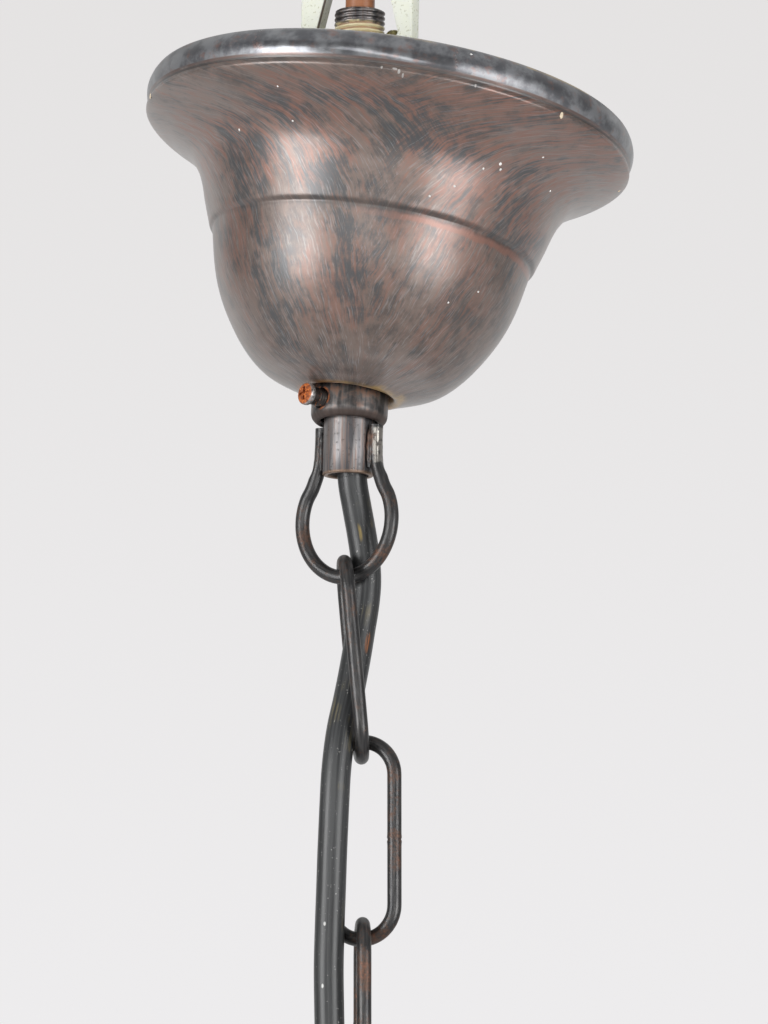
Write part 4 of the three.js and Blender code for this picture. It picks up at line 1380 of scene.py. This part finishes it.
def add_terminal_screw(number, place):
    under = INSERT_R + 0.3
    face = under + TERMINAL_HEAD
    tip = CONDUCTOR_R + 0.3
    root = TERMINAL_R - 0.15
    profile = rounded([
        (0, tip), (TERMINAL_R - 0.2, tip), (TERMINAL_R, tip + 0.2), (root, tip + 0.4),
        (TERMINAL_R, tip + 0.6), (root, tip + 0.8), (TERMINAL_R, tip + 1.0), (TERMINAL_R, under),
        (TERMINAL_HEAD_R, under, 0.15), (TERMINAL_HEAD_R, face, 0.35), (0, face),
    ])
    screw = turned(f"strip_screw_{number}", profile, 40, place)
    slot = box_between("slot", (-0.25, -3, face - 0.6), (0.25, 3, face + 1), place)
    settle(cut(screw, slot), "hanger", BRASS, f"terminal_screw_{number}")


def add_terminals():
    top = INSERT_FOOT + INSERT_LENGTH
    profile = rounded([
        (INSERT_BORE_R, INSERT_FOOT), (INSERT_R, INSERT_FOOT, 0.25), (INSERT_R, top, 0.25),
        (INSERT_BORE_R, top, 0.2), (INSERT_BORE_R, INSERT_FOOT + 0.2),
    ])
    for i, x in enumerate(POLE_X):
        sleeve = turned(f"insert_{i + 1}", profile, 48, pole_axis(x), closed=True)
        for z in SCREW_ZS:
            sleeve = cut(sleeve, drill(TERMINAL_R + 0.1, 0, INSERT_R + 1, 32, facing_back(x, z)))
        settle(sleeve, "hanger", BRASS, f"terminal_insert_{i + 1}")
        for k, z in enumerate(SCREW_ZS):
            add_terminal_screw(len(SCREW_ZS) * i + k + 1, facing_back(x, z))


# Room: pale surroundings, a pale floor far below and lamps round the canopy
BACKGROUND_LOW = (0.86, 0.85, 0.86)
BACKGROUND_HIGH = (0.77, 0.755, 0.75)
AMBIENT = (0.34, 0.34, 0.34)
GLOSS_DIM = 0.28
GLOSS_SIDE = 0.45
GLOSS_WALL = 0.75
GLOSS_ABOVE = 0.75
FLOOR_Z = -2.5
FLOOR_R = 14.0
FLOOR_TONE = (0.8, 0.79, 0.79)
FLOOR_GLOW = (0.95, 0.95, 0.96)
FLOOR_PALE = 0.38  # how much paler the floor looks than its light makes it
LAMP_AIM = Vector((0, 0, -0.1))


def add_world():
    n = Nodes("surroundings", bpy.data.worlds)
    bpy.context.scene.world = n.owner
    n.tree.nodes.clear()
    x, y, z = n.parts(n.add("ShaderNodeTexCoord").outputs["Generated"])
    wall = n.mix(z.step(0.02, 0.3), BACKGROUND_LOW, BACKGROUND_HIGH)
    # Gloss shows pale walls at the sides and behind and a pale ceiling, and is dim elsewhere
    sides = x.size().step(0.35, 0.6) * y.step(0.3, 0.0) * z.step(0.5, 0.25) * GLOSS_SIDE
    behind = y.step(0.82, 0.97).pick(GLOSS_DIM, GLOSS_WALL)
    mirrored_walls = sides.at_least(behind.at_least(z.step(0.4, 0.75) * GLOSS_ABOVE))
    ambient, mirror, backdrop = (
        n.fed("ShaderNodeBackground", tone) for tone in (AMBIENT, mirrored_walls, wall)
    )
    rays = n.add("ShaderNodeLightPath").outputs
    seen = n.math("MAXIMUM", rays["Is Camera Ray"], rays["Is Transmission Ray"])
    light = n.fed("ShaderNodeMixShader", rays["Is Glossy Ray"], ambient, mirror)
    output = n.add("ShaderNodeOutputWorld")
    n.feed(output.inputs[0], n.fed("ShaderNodeMixShader", seen, light, backdrop))


def add_floor():
    _, ring = circle(96)
    data = bpy.data.meshes.new("floor")
    data.from_pydata([(FLOOR_R * x, FLOOR_R * y, FLOOR_Z) for x, y in ring], [], [range(len(ring))])
    floor = object_of("floor", data)
    n = Nodes("floor")
    rays = n.add("ShaderNodeLightPath").outputs
    seen = n.math("MAXIMUM", rays["Is Camera Ray"], rays["Is Transmission Ray"])
    seen = seen.at_least(rays["Is Glossy Ray"])
    n.set(base_color=FLOOR_TONE, roughness=0.9, emission_color=FLOOR_GLOW,
          emission_strength=seen * FLOOR_PALE)
    data.materials.append(n.owner)


def add_softbox(name, azimuth, elevation, distance, size, radiance, roll=0):
    """A rectangular lamp that faces the canopy. Azimuth 0 is the viewer's side, and a positive
    one lies to the right; radiance is how bright its face looks."""
    a, e = math.radians(azimuth), math.radians(elevation)
    way = Vector((math.sin(a) * math.cos(e), -math.cos(a) * math.cos(e), math.sin(e)))
    data = bpy.data.lights.new(name, "AREA")
    data.shape = "RECTANGLE"
    data.size, data.size_y = size
    data.energy = radiance * math.pi * size[0] * size[1]
    lamp = object_of(name, data)
    turn = way.to_track_quat("Z", "Y").to_matrix() @ Matrix.Rotation(math.radians(roll), 3, "Z")
    lamp.rotation_euler = turn.to_euler()
    lamp.location = LAMP_AIM + way * distance
    lamp.visible_camera = False


add_camera()
add_flex()
settle(threaded_tube("upper_tube", TUBE_LENGTH, THREAD_LENGTH), "hanger", TUBE_STEEL, "hanger_tube")
add_bail("upper_bail", "hanger_bail", "hanger", UPPER_LOOP, UPPER_DROP, UPPER_BAIL)
add_bail("lower_bail", "stem_bail", "stem", STEM_LOOP, STEM_DROP, STEM_PLACE)
stem = threaded_tube("stem_pipe", STEM_LENGTH, STEM_THREAD, STEM_PLACE)
settle(stem, "stem", TUBE_STEEL, "stem_tube")
add_links()
add_collar()
add_grub_screw()
add_canopy()
add_specks()
add_stirrup()
add_lock_screw()
add_cores()
add_strip()
add_terminals()

add_world()
add_floor()
add_softbox("softbox_left", -54, -3, 1.6, (0.78, 0.95), 8.6)
add_softbox("softbox_right", 46, -5, 1.6, (0.72, 0.95), 7.8)
add_softbox("softbox_back_left", -140, 10, 1.8, (0.7, 1.2), 0.5)
add_softbox("softbox_back_right", 140, 10, 1.8, (0.7, 1.2), 0.5)
add_softbox("strip_in_front", -6, 2, 1.6, (1.30, 0.30), 4.2, -38)

view = bpy.context.scene.view_settings
view.view_transform = "Standard"
